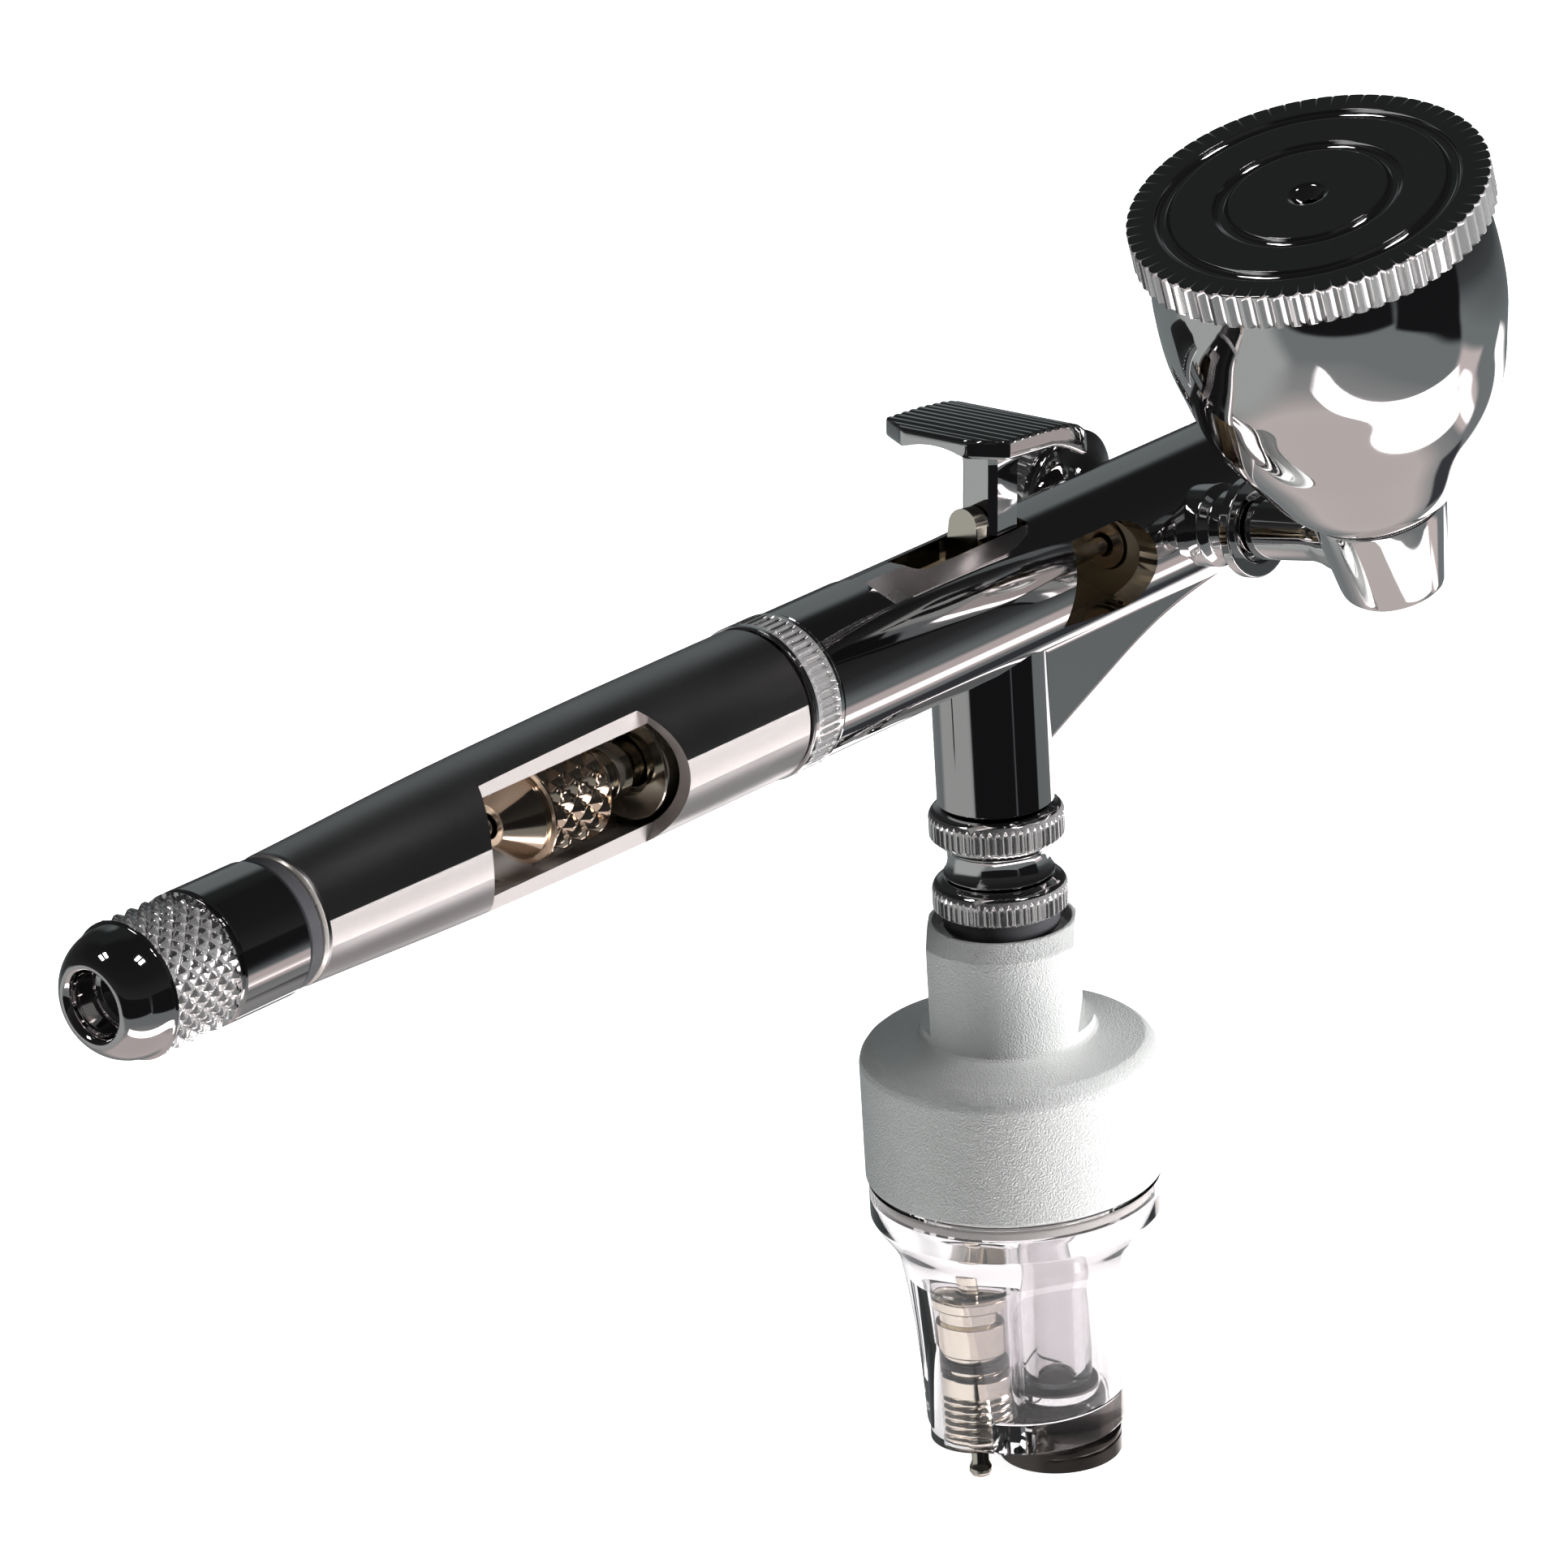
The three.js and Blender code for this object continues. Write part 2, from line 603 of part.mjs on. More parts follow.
function cupBase() {
  const cavity = rod(HUB_BOTTOM + 2, BOWL_FOOT + 1, HUB_CAVITY_RADIUS, { sides: COARSE });
  const hubTop = BOWL_FOOT - 0.15;
  const outside = turned([[HUB_BOTTOM, 0], [HUB_BOTTOM, 4.3], [hubTop - 0.75, 5.4], [hubTop, 5.45], [hubTop, 0]]);
  const hub = outside.subtract(cavity);
  const toCup = cupFrame.clone().invert().multiply(portFrame(-1));
  const stem = join(
    cone(11.2, 2.6, 22, 2.5, { frame: toCup, sides: COARSE }),
    cone(4.5, 1.7, 11.3, 1.85, { frame: toCup, sides: COARSE })
  );
  return join(hub, stem.subtract(cavity)).subtract(rod(4, 21, 1.1, { frame: toCup, sides: 12 }));
}

addPiece("cup_bowl", cupBowl(), chrome, cup);
addPiece("cup_base", cupBase(), chrome, cup);

function cupLid() {
  const groove = (radius) => ring(-0.4, 1, radius - 0.5, radius + 0.5);
  return cut(
    turned([
      [-4.8, 11.6], [-4.8, 12.4], [-LID_THICKNESS, 12.4], [-LID_THICKNESS, LID_RADIUS], [-0.3, LID_RADIUS],
      [0, LID_RADIUS - 0.35], [0, 1.35], [-0.9, 0.6], [-1.6, 0.6], [-1.6, 11.6], [-4.8, 11.6],
    ]),
    groove(0.8 * LID_RADIUS),
    groove(0.48 * LID_RADIUS)
  );
}

addPiece("cup_lid", cupLid(), blackChrome, cup);

// ---------------------------------------------------------------- coupling and filter

addPiece(
  "stem_coupling",
  turned([
    [-20.4, 2.4], [-23, 2.4], [-23, 4.5], [-22.3, 4.2], [-21.4, 4.1], [-20.5, 4.3], [-19.8, 5.2],
    [-19.6, COUPLING_RADIUS], [-18.5, COUPLING_RADIUS], [-17.2, 4.8], [-17.1, 1.6], [-20.4, 1.6],
    [-20.4, 2.4],
  ]),
  chrome
);
addPiece(
  "coupling_ring",
  turned([
    [-34, 1.5], [-34, 3.6], [-25.9, 3.6], [-25.8, COUPLING_RADIUS], [-24.2, COUPLING_RADIUS], [-23.4, 4.7],
    [-23.2, 2.1], [-20.7, 2.1], [-20.7, 1.5], [-34, 1.5],
  ]),
  chrome
);
addPiece("coupling_o_ring", ring(-27.6, -26.1, 3.75, 4.7, { sides: FINE }), rubber);

function filterHousing() {
  const shell = turned([
    [HOUSING_BOTTOM, 10.9], [HOUSING_BOTTOM, HOUSING_RADIUS], [-38.6, HOUSING_RADIUS], [-37.4, 11.2],
    [-36.6, NECK_RADIUS + 0.2], [-28.2, NECK_RADIUS], [-27, 5.9], [-27, 5.6], [-28.4, 5.6], [-28.4, 3.9],
    [-38.2, 3.9], [-38.2, 9.6], [-39.2, 10.9], [HOUSING_BOTTOM, 10.9],
  ]);
  const spannerFlats = [-1, 1].map((side) =>
    block([NECK_FLAT, -8, -35.6], [9, 8, -26]).rotate([0, 0, FLATS_TURN + (side < 0 ? 180 : 0)])
  );
  return cut(shell, ...spannerFlats);
}

addPiece("filter_housing", filterHousing(), aluminium, filterTurned);
addPiece("filter_element", ring(-47, -39.6, 2.6, 6.4), whitePlastic, filterTurned);
addPiece(
  "filter_baffle",
  join(ring(-48.1, -47.2, 1.2, 8.6, { sides: FINE }), ring(-48.1, -35.5, 1.2, 2.3, { sides: COARSE })),
  brass,
  filterTurned
);
addPiece("housing_o_ring", sealRing(-49.9, 11.1, 0.35, { sides: FINE }), whitePlastic, filterTurned);

// Places a piece drawn about its own upright axis at a distance along the filter's line of fittings.
function offset(distance) {
  return { frame: new THREE.Matrix4().makeTranslation(distance, 0, 0), sides: COARSE };
}

function filterBowl() {
  const outside = join(
    turned([
      [BOWL_BOTTOM, 0], [BOWL_BOTTOM, 8.2], [-64, 8.6], [-60, 9.05], [-54.8, 9.9], [-53.4, 11],
      [-52, 11.9], [-49, 11.9], [-49, 0],
    ]),
    rod(DRAIN_BOTTOM, -57.2, 3.93, offset(DRAIN_OFFSET))
  );
  const inside = turned([
    [-68.6, 0], [-68.6, 6.9], [-60, 7.7], [-54, 8.6], [-50.6, 9.8], [-50.6, 0],
  ]);
  const keptSleeve = ring(-68.7, -57.2, 2.9, 3.93, offset(DRAIN_OFFSET));
  return cut(
    outside,
    inside.subtract(keptSleeve),
    rod(-50.7, -48, 9.8),
    ring(-49.7, -48, 9.7, 11.55, { sides: FINE }),
    sealRing(-49.9, 11.1, 0.42, { sides: FINE }),
    rod(DRAIN_BOTTOM - 1, -56, 3.1, offset(DRAIN_OFFSET)),
    rod(BOWL_BOTTOM - 1, -67, 3.9, offset(INLET_OFFSET))
  );
}

addPiece("filter_bowl", filterBowl(), clearPlastic, filterTurned);
addPiece(
  "inlet_tube",
  turned(
    [[-68.2, 1.6], [-68.2, 3.1], [-66, 3.1], [-53.5, 2.4], [-53.5, 1.6], [-68.2, 1.6]],
    offset(INLET_OFFSET)
  ),
  clearPlastic,
  filterTurned
);
addPiece(
  "air_inlet_nipple",
  turned(
    [
      [INLET_BOTTOM, 2.6], [INLET_BOTTOM, INLET_RADIUS - 0.4], [INLET_BOTTOM + 0.5, INLET_RADIUS],
      [-71.2, INLET_RADIUS], [-71.2, 3.7], [-68.5, 3.7], [-68.5, 1.8], [-72, 1.8], [-72, 2.6],
      [INLET_BOTTOM, 2.6],
    ],
    { ...offset(INLET_OFFSET), sides: FINE }
  ),
  darkMetal,
  filterTurned
);
addPiece(
  "drain_valve_body",
  turned(
    [
      [DRAIN_BOTTOM + 0.1, 1.1], [DRAIN_BOTTOM + 0.1, DRAIN_RADIUS], [-64.9, DRAIN_RADIUS], [-64.8, 2.2],
      [-63.1, 2.2], [-63, 2.6], [-60.2, 2.6], [-60, 2.1], [-59, 2.1], [-58.9, 2.85], [-57.8, 2.85],
      [-57.8, 1.1], [-60.5, 1.1], [-60.5, 1.7], [-68.2, 1.7], [-68.2, 1.1], [DRAIN_BOTTOM + 0.1, 1.1],
    ],
    offset(DRAIN_OFFSET)
  ),
  nickel,
  filterTurned
);
addPiece("drain_o_ring", sealRing(-63.95, 2.55, 0.32, offset(DRAIN_OFFSET)), rubber, filterTurned);
addPiece(
  "drain_pin",
  turned(
    [
      [-75, 0], [-75, 0.5], [-74.6, 0.95], [-74.1, 0.95], [-73.6, 0.7], [-67.9, 0.7], [-67.9, 1.4],
      [-66.9, 1.4], [-66.9, 0.8], [-54.6, 0.8], [-54.6, 0],
    ],
    offset(DRAIN_OFFSET)
  ),
  nickel,
  filterTurned
);
addPiece(
  "drain_spring",
  coilSpring(-66.6, DRAIN_SPRING_HEAD, 1.2, 0.2, 4, offset(DRAIN_OFFSET).frame),
  steel,
  filterTurned
);

// The origin is the centre of the air inlet's lower face.
airbrush.position.set(
  -INLET_OFFSET * Math.cos(FILTER_TURN),
  -INLET_OFFSET * Math.sin(FILTER_TURN),
  -INLET_BOTTOM
);

export default airbrush;
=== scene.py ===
import json
import math

import bmesh
import bpy
import numpy as np
from mathutils import Matrix, Vector


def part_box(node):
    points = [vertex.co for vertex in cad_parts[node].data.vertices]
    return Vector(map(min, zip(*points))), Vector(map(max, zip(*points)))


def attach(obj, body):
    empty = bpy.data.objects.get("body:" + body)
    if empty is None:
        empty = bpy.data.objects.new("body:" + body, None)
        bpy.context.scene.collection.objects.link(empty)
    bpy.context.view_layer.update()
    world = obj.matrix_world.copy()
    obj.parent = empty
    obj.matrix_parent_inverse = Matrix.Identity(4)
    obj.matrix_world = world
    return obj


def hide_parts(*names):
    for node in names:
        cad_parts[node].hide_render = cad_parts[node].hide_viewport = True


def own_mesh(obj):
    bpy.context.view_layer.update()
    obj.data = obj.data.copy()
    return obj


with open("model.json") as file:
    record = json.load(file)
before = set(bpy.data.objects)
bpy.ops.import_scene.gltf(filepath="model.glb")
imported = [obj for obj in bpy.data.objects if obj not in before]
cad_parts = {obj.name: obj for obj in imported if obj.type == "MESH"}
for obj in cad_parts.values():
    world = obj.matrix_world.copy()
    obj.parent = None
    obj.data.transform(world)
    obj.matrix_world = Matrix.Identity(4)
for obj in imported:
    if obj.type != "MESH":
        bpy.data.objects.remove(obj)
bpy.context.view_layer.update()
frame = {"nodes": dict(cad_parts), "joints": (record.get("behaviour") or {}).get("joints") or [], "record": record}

MM = 0.001


# ---------------- places, all from the frame

def middle(node):
    low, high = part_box(node)
    return (low + high) / 2


JOINTS = {joint["name"]: joint for joint in frame["joints"]}
BODY_OF = {node: body for body, nodes in frame["record"]["behaviour"]["bodies"].items() for node in nodes}
SLOT_OF = {row["node"]: row["material_slot"] for row in frame["record"]["subparts"]}

# The valve stem's axis crosses the barrel's axis here. Meshes are drawn in millimetres from it.
CROSSING = Vector((middle("valve_seat").x, middle("rear_collar").y, middle("rear_collar").z))
UPRIGHT = Matrix.Identity(4)
ALONG = Matrix(((0, 0, 1, 0), (1, 0, 0, 0), (0, 1, 0, 0), (0, 0, 0, 1)))


def axis_place(origin, axis):
    """A place at origin, in millimetres from the crossing, whose Z axis points along axis."""
    up = Vector(axis).normalized()
    across = Vector((1, 0, 0)) if abs(up.x) < 0.9 else Vector((0, 1, 0))
    side = up.cross(across).normalized()
    across = side.cross(up)
    turn = Matrix((across, side, up)).transposed().to_4x4()
    return Matrix.Translation(origin) @ turn


def from_crossing(point):
    return (Vector(point) - CROSSING) / MM


CUP_PORT_AXIS = Vector(JOINTS["cup_swivel"]["axis"])
PORT_ORIGIN = from_crossing(JOINTS["cup_swivel"]["pos_m"])
CUP_PORT = axis_place(PORT_ORIGIN, CUP_PORT_AXIS)
PLUG_PORT = axis_place(PORT_ORIGIN, Vector((CUP_PORT_AXIS.x, -CUP_PORT_AXIS.y, CUP_PORT_AXIS.z)))
CUP_AXIS = Vector(JOINTS["lid_lift"]["axis"])
LID_TOP = Vector((12.05, -23.8, 33.18))  # the middle of the lid's top face
CUP = axis_place(LID_TOP, CUP_AXIS)


def upright_through(node):
    """An upright place, level with the crossing, whose axis runs through the middle of a node."""
    centre = from_crossing(middle(node))
    return Matrix.Translation((centre.x, centre.y, 0))


INLET = upright_through("air_inlet_nipple")
DRAIN = upright_through("drain_valve_body")
FITTINGS_LINE = (INLET.translation - DRAIN.translation).normalized()


# ---------------- node helpers

def node_tree(name):
    material = bpy.data.materials.new(name)
    material.use_nodes = True
    tree = material.node_tree
    return material, tree, tree.nodes["Principled BSDF"]


def add(tree, kind, inputs=None, **settings):
    node = tree.nodes.new(kind)
    for key, value in settings.items():
        setattr(node, key, value)
    for key, value in (inputs or {}).items():
        if isinstance(value, bpy.types.NodeSocket):
            tree.links.new(value, node.inputs[key])
        else:
            node.inputs[key].default_value = value
    return node


def noise(tree, scale, detail=2.0, stretch=None):
    where = add(tree, "ShaderNodeTexCoord").outputs["Object"]
    if stretch:
        where = add(tree, "ShaderNodeMapping", {"Vector": where, "Scale": stretch}).outputs["Vector"]
    texture = add(tree, "ShaderNodeTexNoise", {"Vector": where, "Scale": scale, "Detail": detail})
    return texture.outputs["Fac"]


def spread(tree, value, low, high, from_low=0.3, from_high=0.7):
    inputs = {"Value": value, "From Min": from_low, "From Max": from_high, "To Min": low, "To Max": high}
    return add(tree, "ShaderNodeMapRange", inputs).outputs["Result"]


def bump(tree, shader, height, depth):
    node = add(tree, "ShaderNodeBump", {"Height": height, "Strength": 1.0, "Distance": depth})
    tree.links.new(node.outputs["Normal"], shader.inputs["Normal"])


# ---------------- materials

def metal(name, colour, roughness, variation, ripple, grain=900.0, metallic=1.0):
    """Plated or machined metal: the roughness wanders a little and the surface is never quite flat."""
    material, tree, shader = node_tree(name)
    shader.inputs["Metallic"].default_value = metallic
    shader.inputs["Base Color"].default_value = (*colour, 1)
    rough = spread(tree, noise(tree, 140.0, 3.0), roughness, roughness + variation)
    tree.links.new(rough, shader.inputs["Roughness"])
    bump(tree, shader, noise(tree, grain, 3.0), ripple)
    return material


def mottle(tree, shader, colour, darkest, scale):
    """Lets the shade wander between a colour and the same colour made darker."""
    shade = add(tree, "ShaderNodeMix", {"Factor": noise(tree, scale, 4.0)}, data_type="RGBA")
    shade.inputs["A"].default_value = (*[c * darkest for c in colour], 1)
    shade.inputs["B"].default_value = (*colour, 1)
    tree.links.new(shade.outputs["Result"], shader.inputs["Base Color"])


def blasted(name, colour, roughness, depth):
    """Bead-blasted or finely milled metal: a dense field of tiny pits, which scatter the light."""
    material, tree, shader = node_tree(name)
    shader.inputs["Metallic"].default_value = 0.82
    mottle(tree, shader, colour, 0.93, 260.0)
    rough = spread(tree, noise(tree, 3200.0), roughness, roughness + 0.12)
    tree.links.new(rough, shader.inputs["Roughness"])
    bump(tree, shader, noise(tree, 6500.0, 2.0), depth)
    return material


def soft(name, colour, roughness, depth, grain):
    """Rubber and moulded plastic: a fine grain and a slight unevenness of shade."""
    material, tree, shader = node_tree(name)
    mottle(tree, shader, colour, 0.8, 420.0)
    shader.inputs["Roughness"].default_value = roughness
    bump(tree, shader, noise(tree, grain, 2.0), depth)
    return material


def clear(name):
    """Clear moulded polycarbonate, with faint flow lines."""
    material, tree, shader = node_tree(name)
    shader.inputs["Base Color"].default_value = (0.78, 0.76, 0.77, 1)
    shader.inputs["Transmission Weight"].default_value = 1.0
    shader.inputs["IOR"].default_value = 1.5
    tree.links.new(spread(tree, noise(tree, 300.0), 0.01, 0.05), shader.inputs["Roughness"])
    bump(tree, shader, noise(tree, 160.0, 2.0, (1, 1, 0.25)), 0.00001)
    return material


MATERIALS = {
    "black_chrome": metal("black_chrome", (0.62, 0.60, 0.60), 0.02, 0.04, 0.0000008),
    "chrome": metal("chrome", (0.74, 0.73, 0.73), 0.02, 0.04, 0.0000008),
    "satin_chrome": metal("satin_chrome", (0.56, 0.54, 0.54), 0.30, 0.06, 0.0000015, 5000.0),
    "nickel": metal("nickel", (0.80, 0.74, 0.64), 0.08, 0.08, 0.000002),
    "steel": metal("steel", (0.72, 0.71, 0.70), 0.12, 0.08, 0.000002),
    "aluminium": blasted("aluminium", (0.88, 0.89, 0.88), 0.36, 0.00012),
    "brass": metal("brass", (0.86, 0.70, 0.56), 0.12, 0.10, 0.000002),
    "clear_plastic": clear("clear_plastic"),
    "dark_metal": metal("dark_metal", (0.16, 0.14, 0.13), 0.35, 0.15, 0.000004),
    "rubber": soft("rubber", (0.022, 0.022, 0.024), 0.5, 0.000006, 4000.0),
    "white_plastic": soft("white_plastic", (0.78, 0.76, 0.72), 0.45, 0.000004, 3000.0),
}

# Finishes for parts of a piece: the cut and drilled faces, and the teeth of knurls.
BARREL_BORE_FINISH = metal("barrel_bore", (0.58, 0.50, 0.38), 0.16, 0.1, 0.000004, metallic=0.6)
HANDLE_BORE_FINISH = metal("handle_bore", (0.60, 0.56, 0.53), 0.20, 0.1, 0.000004, metallic=0.7)
KNURL_FINISH = metal("knurl", (0.78, 0.76, 0.76), 0.08, 0.06, 0.0000008, metallic=0.93)
FACET_FINISH = metal("facet", (0.64, 0.60, 0.60), 0.24, 0.06, 0.0000015, 5000.0)
WINDOW_CUT_FINISH = blasted("window_cut", (0.62, 0.57, 0.56), 0.35, 0.000004)

for node, cad_object in frame["nodes"].items():
    cad_object.data.materials.clear()
    cad_object.data.materials.append(MATERIALS[SLOT_OF[node]])


# ---------------- mesh helpers

def soften(outline, radius, steps=4):
    """Rounds the corners of an outline, and holds the flats on each side of them straight."""
    share, hold = 0.3, 1.5
    points = [Vector(p) for p in outline]
    closed = (points[0] - points[-1]).length < 1e-6
    if closed:
        points.pop()
    count = len(points)
    rounded = []
    for i, here in enumerate(points):
        if not closed and i in (0, count - 1):
            rounded.append(here)
            continue
        before, after = here - points[i - 1], points[(i + 1) % count] - here
        if before.angle(after) < math.radians(20):
            rounded.append(here)
            continue
        reach = min(radius, share * before.length, share * after.length)
        before.normalize()
        after.normalize()
        rounded.append(here - before * reach * hold)
        for k in range(steps + 1):
            t = k / steps
            rounded.append(here - before * reach * (1 - t) ** 2 + after * reach * t ** 2)
        rounded.append(here + after * reach * hold)
    if closed:
        rounded.append(rounded[0].copy())
    return rounded


def through(points, steps):
    """A natural cubic spline through outline points."""
    known = np.array(points, float)
    gaps = np.linalg.norm(np.diff(known, axis=0), axis=1)
    at = np.concatenate([[0], np.cumsum(gaps)])
    count = len(known)
    matrix, right = np.eye(count), np.zeros((count, 2))
    rise = np.diff(known, axis=0) / gaps[:, None]
    for i in range(1, count - 1):
        matrix[i, i - 1:i + 2] = gaps[i - 1], 2 * (gaps[i - 1] + gaps[i]), gaps[i]
        right[i] = 6 * (rise[i] - rise[i - 1])
    bend = np.linalg.solve(matrix, right)
    made = []
    for place in np.linspace(0, at[-1], steps + 1):
        i = min(int(np.searchsorted(at, place, "right")) - 1, count - 2)
        a, b, h = at[i + 1] - place, place - at[i], gaps[i]
        value = (bend[i] * a ** 3 + bend[i + 1] * b ** 3) / (6 * h)
        value += (known[i] / h - bend[i] * h / 6) * a + (known[i + 1] / h - bend[i + 1] * h / 6) * b
        made.append((float(value[0]), float(value[1])))
    return made


def rows(start, end, radius, count):
    """Evenly spaced outline points along a cylinder, for a knurl or a thread to be cut in."""
    return [(start + (end - start) * k / count, radius) for k in range(count + 1)]


def zigzag(x):
    """0 at whole numbers and 1 half way between them. A factor above 1 on it leaves flat crests."""
    return 1 - abs(2 * (x % 1.0) - 1)


def teeth(count, crest, depth, start, end, runout=0.5):
    """Straight V grooves, which narrow to a point at each end."""
    def limit(along, turn):
        fade = min(1.0, (along - start) / runout, (end - along) / runout)
        return crest - max(0.0, depth * (fade - min(1.0, 1.35 * zigzag(count * turn))))
    return limit


def diamonds(count, crest, depth, start, end, pitch):
    """Two sets of crossing V grooves."""
    def limit(along, turn):
        if not start - 1e-6 <= along <= end + 1e-6:
            return crest
        step = (along - start) / pitch
        height = min(zigzag(count * turn + step), zigzag(count * turn - step))
        return crest - depth * (1 - min(1.0, 1.25 * height))
    return limit


def thread(pitch, crest, depth, start, end):
    """One helical V groove, which fades out over a turn at each end."""
    def limit(along, turn):
        fade = min(1.0, (along - start) / pitch, (end - along) / pitch)
        return crest - max(0.0, depth * (fade - min(1.0, 1.3 * zigzag(along / pitch - turn))))
    return limit


def new_object(name, bm):
    bmesh.ops.recalc_face_normals(bm, faces=bm.faces)
    mesh = bpy.data.meshes.new(name)
    bm.to_mesh(mesh)
    bm.free()
    made = bpy.data.objects.new(name, mesh)
    bpy.context.scene.collection.objects.link(made)
    return made


def stitch(bm, first, second, between=None):
    """Joins two rings, or a ring and a point. between(k) is the true radius in the middle of quad k."""
    if len(first) == 1 or len(second) == 1:
        point, around = (first[0], second) if len(first) == 1 else (second[0], first)
        for k, corner in enumerate(around):
            bm.faces.new((point, corner, around[(k + 1) % len(around)]))
        return
    count = len(first)
    for k in range(count):
        a, b, c, d = first[k], first[(k + 1) % count], second[(k + 1) % count], second[k]
        if between is None:
            bm.faces.new((a, b, c, d))
            continue
        radius = [math.hypot(v.co.x, v.co.y) for v in (a, b, c, d)]
        one, other = (radius[0] + radius[2]) / 2, (radius[1] + radius[3]) / 2
        if abs(one - other) < 1e-5:
            bm.faces.new((a, b, c, d))
        elif abs(between(k) - one) <= abs(between(k) - other):
            bm.faces.new((a, b, c))
            bm.faces.new((a, c, d))
        else:
            bm.faces.new((a, b, d))
            bm.faces.new((b, c, d))


def lathe(name, outline, place=UPRIGHT, around=128, limit=None, corner=0.15):
    """Turns an outline of (along, radius) points about a place's Z axis. limit caps the radius."""
    points = soften(outline, corner) if corner else [Vector(p) for p in outline]
    closed = (points[0] - points[-1]).length < 1e-6
    if closed:
        points.pop()

    def surface(along, radius, turn):
        return min(radius, limit(along, turn)) if limit else radius

    bm = bmesh.new()
    rings = []
    for along, radius in points:
        if radius < 1e-6:
            rings.append([bm.verts.new((0, 0, along))])
            continue
        ring = []
        for k in range(around):
            angle = 2 * math.pi * k / around
            r = surface(along, radius, k / around)
            ring.append(bm.verts.new((r * math.cos(angle), r * math.sin(angle), along)))
        rings.append(ring)
    pairs = [(i, i + 1) for i in range(len(rings) - 1)]
    if closed:
        pairs.append((len(rings) - 1, 0))
    for i, j in pairs:
        half = (points[i] + points[j]) / 2
        between = (lambda k: surface(half.x, half.y, (k + 0.5) / around)) if limit else None
        stitch(bm, rings[i], rings[j], between)
    bm.transform(place)
    return new_object(name, bm)


def rod(name, start, end, radius, place=UPRIGHT, around=96):
    return lathe(name, [(start, 0), (start, radius), (end, radius), (end, 0)], place, around, corner=0)


def prism(name, outline, low, high):
    """A flat outline in X and Z, given thickness along Y between two values."""
    bm = bmesh.new()
    near = [bm.verts.new((x, low, z)) for x, z in outline]
    far = [bm.verts.new((x, high, z)) for x, z in outline]
    bm.faces.new(near)
    bm.faces.new(far)
    for k in range(len(near)):
        n = (k + 1) % len(near)
        bm.faces.new((near[k], near[n], far[n], far[k]))
    return new_object(name, bm)


def loft(name, sections, place=UPRIGHT):
    """A skin over closed sections, which all have the same number of points, capped at both ends."""
    bm = bmesh.new()
    rings = [[bm.verts.new(p) for p in section] for section in sections]
    for first, second in zip(rings, rings[1:]):
        stitch(bm, first, second)
    bm.faces.new(rings[0])
    bm.faces.new(rings[-1])
    bm.transform(place)
    return new_object(name, bm)


def coil(name, start, end, radius, wire, turns, place=UPRIGHT, sides=8, steps=28):
    """A round wire wound about a place's Z axis."""
    sections = []
    count = round(turns * steps)
    for k in range(count + 1):
        angle = 2 * math.pi * turns * k / count
        out = Vector((math.cos(angle), math.sin(angle), 0))
        centre = out * radius + Vector((0, 0, start + (end - start) * k / count))
        ring = [2 * math.pi * s / sides for s in range(sides)]
        section = [centre + out * wire * math.cos(a) + Vector((0, 0, wire * math.sin(a))) for a in ring]
        sections.append(section)
    return loft(name, sections, place)


def arc(centre, radius, start, end, steps):
    """Points of an arc, its angles in degrees from the first axis towards the second."""
    angles = [math.radians(start + (end - start) * k / steps) for k in range(steps + 1)]
    return [(centre[0] + radius * math.cos(a), centre[1] + radius * math.sin(a)) for a in angles]


def combined(base, operation, others):
    for other in others:
        modifier = base.modifiers.new("combine", "BOOLEAN")
        modifier.operation = operation
        modifier.solver = "EXACT"
        modifier.object = other
    bpy.context.view_layer.update()
    mesh = bpy.data.meshes.new_from_object(base.evaluated_get(bpy.context.evaluated_depsgraph_get()))
    base.modifiers.clear()
    base.data = mesh
    for other in others:
        bpy.data.objects.remove(other)
    return base


def join(base, *others):
    return combined(base, "UNION", others)


def cut(base, *others):
    return combined(base, "DIFFERENCE", others)


def gathered(base, *others):
    """Puts shells that may pass through each other into one mesh."""
    bm = bmesh.new()
    for part in (base, *others):
        bm.from_mesh(part.data)
    bm.to_mesh(base.data)
    bm.free()
    for other in others:
        bpy.data.objects.remove(other)
    return base


def turned_surface(outline, place=UPRIGHT):
    """A function: the exact normal of a turned surface at a point on it, or None elsewhere."""
    inverse = place.inverted()
    turn = place.to_3x3()
    along = [p[0] for p in outline]
    radii = [p[1] for p in outline]
    reach, near = 0.4, 0.015

    def normal(point):
        local = inverse @ point
        radius = math.hypot(local.x, local.y)
        if not along[0] - 0.01 <= local.z <= along[-1] + 0.01:
            return None
        if abs(radius - float(np.interp(local.z, along, radii))) > near:
            return None
        above = float(np.interp(local.z + reach, along, radii))
        below = float(np.interp(local.z - reach, along, radii))
        slope = (above - below) / (2 * reach)
        return (turn @ Vector((local.x / radius, local.y / radius, -slope))).normalized()

    return normal


def round_surface(start, end, radius, place=UPRIGHT):
    return turned_surface([(start, radius), (end, radius)], place)


def flat_surface(turn, height):
    """Like turned_surface, for the plane of a prism's upper face after seen_from_above(..., turn)."""
    facing = Matrix.Rotation(math.radians(turn - 90), 3, "X") @ Vector((0, 1, 0))

    def normal(point):
        return facing if abs(point.dot(facing) - height) < 0.004 else None

    return normal


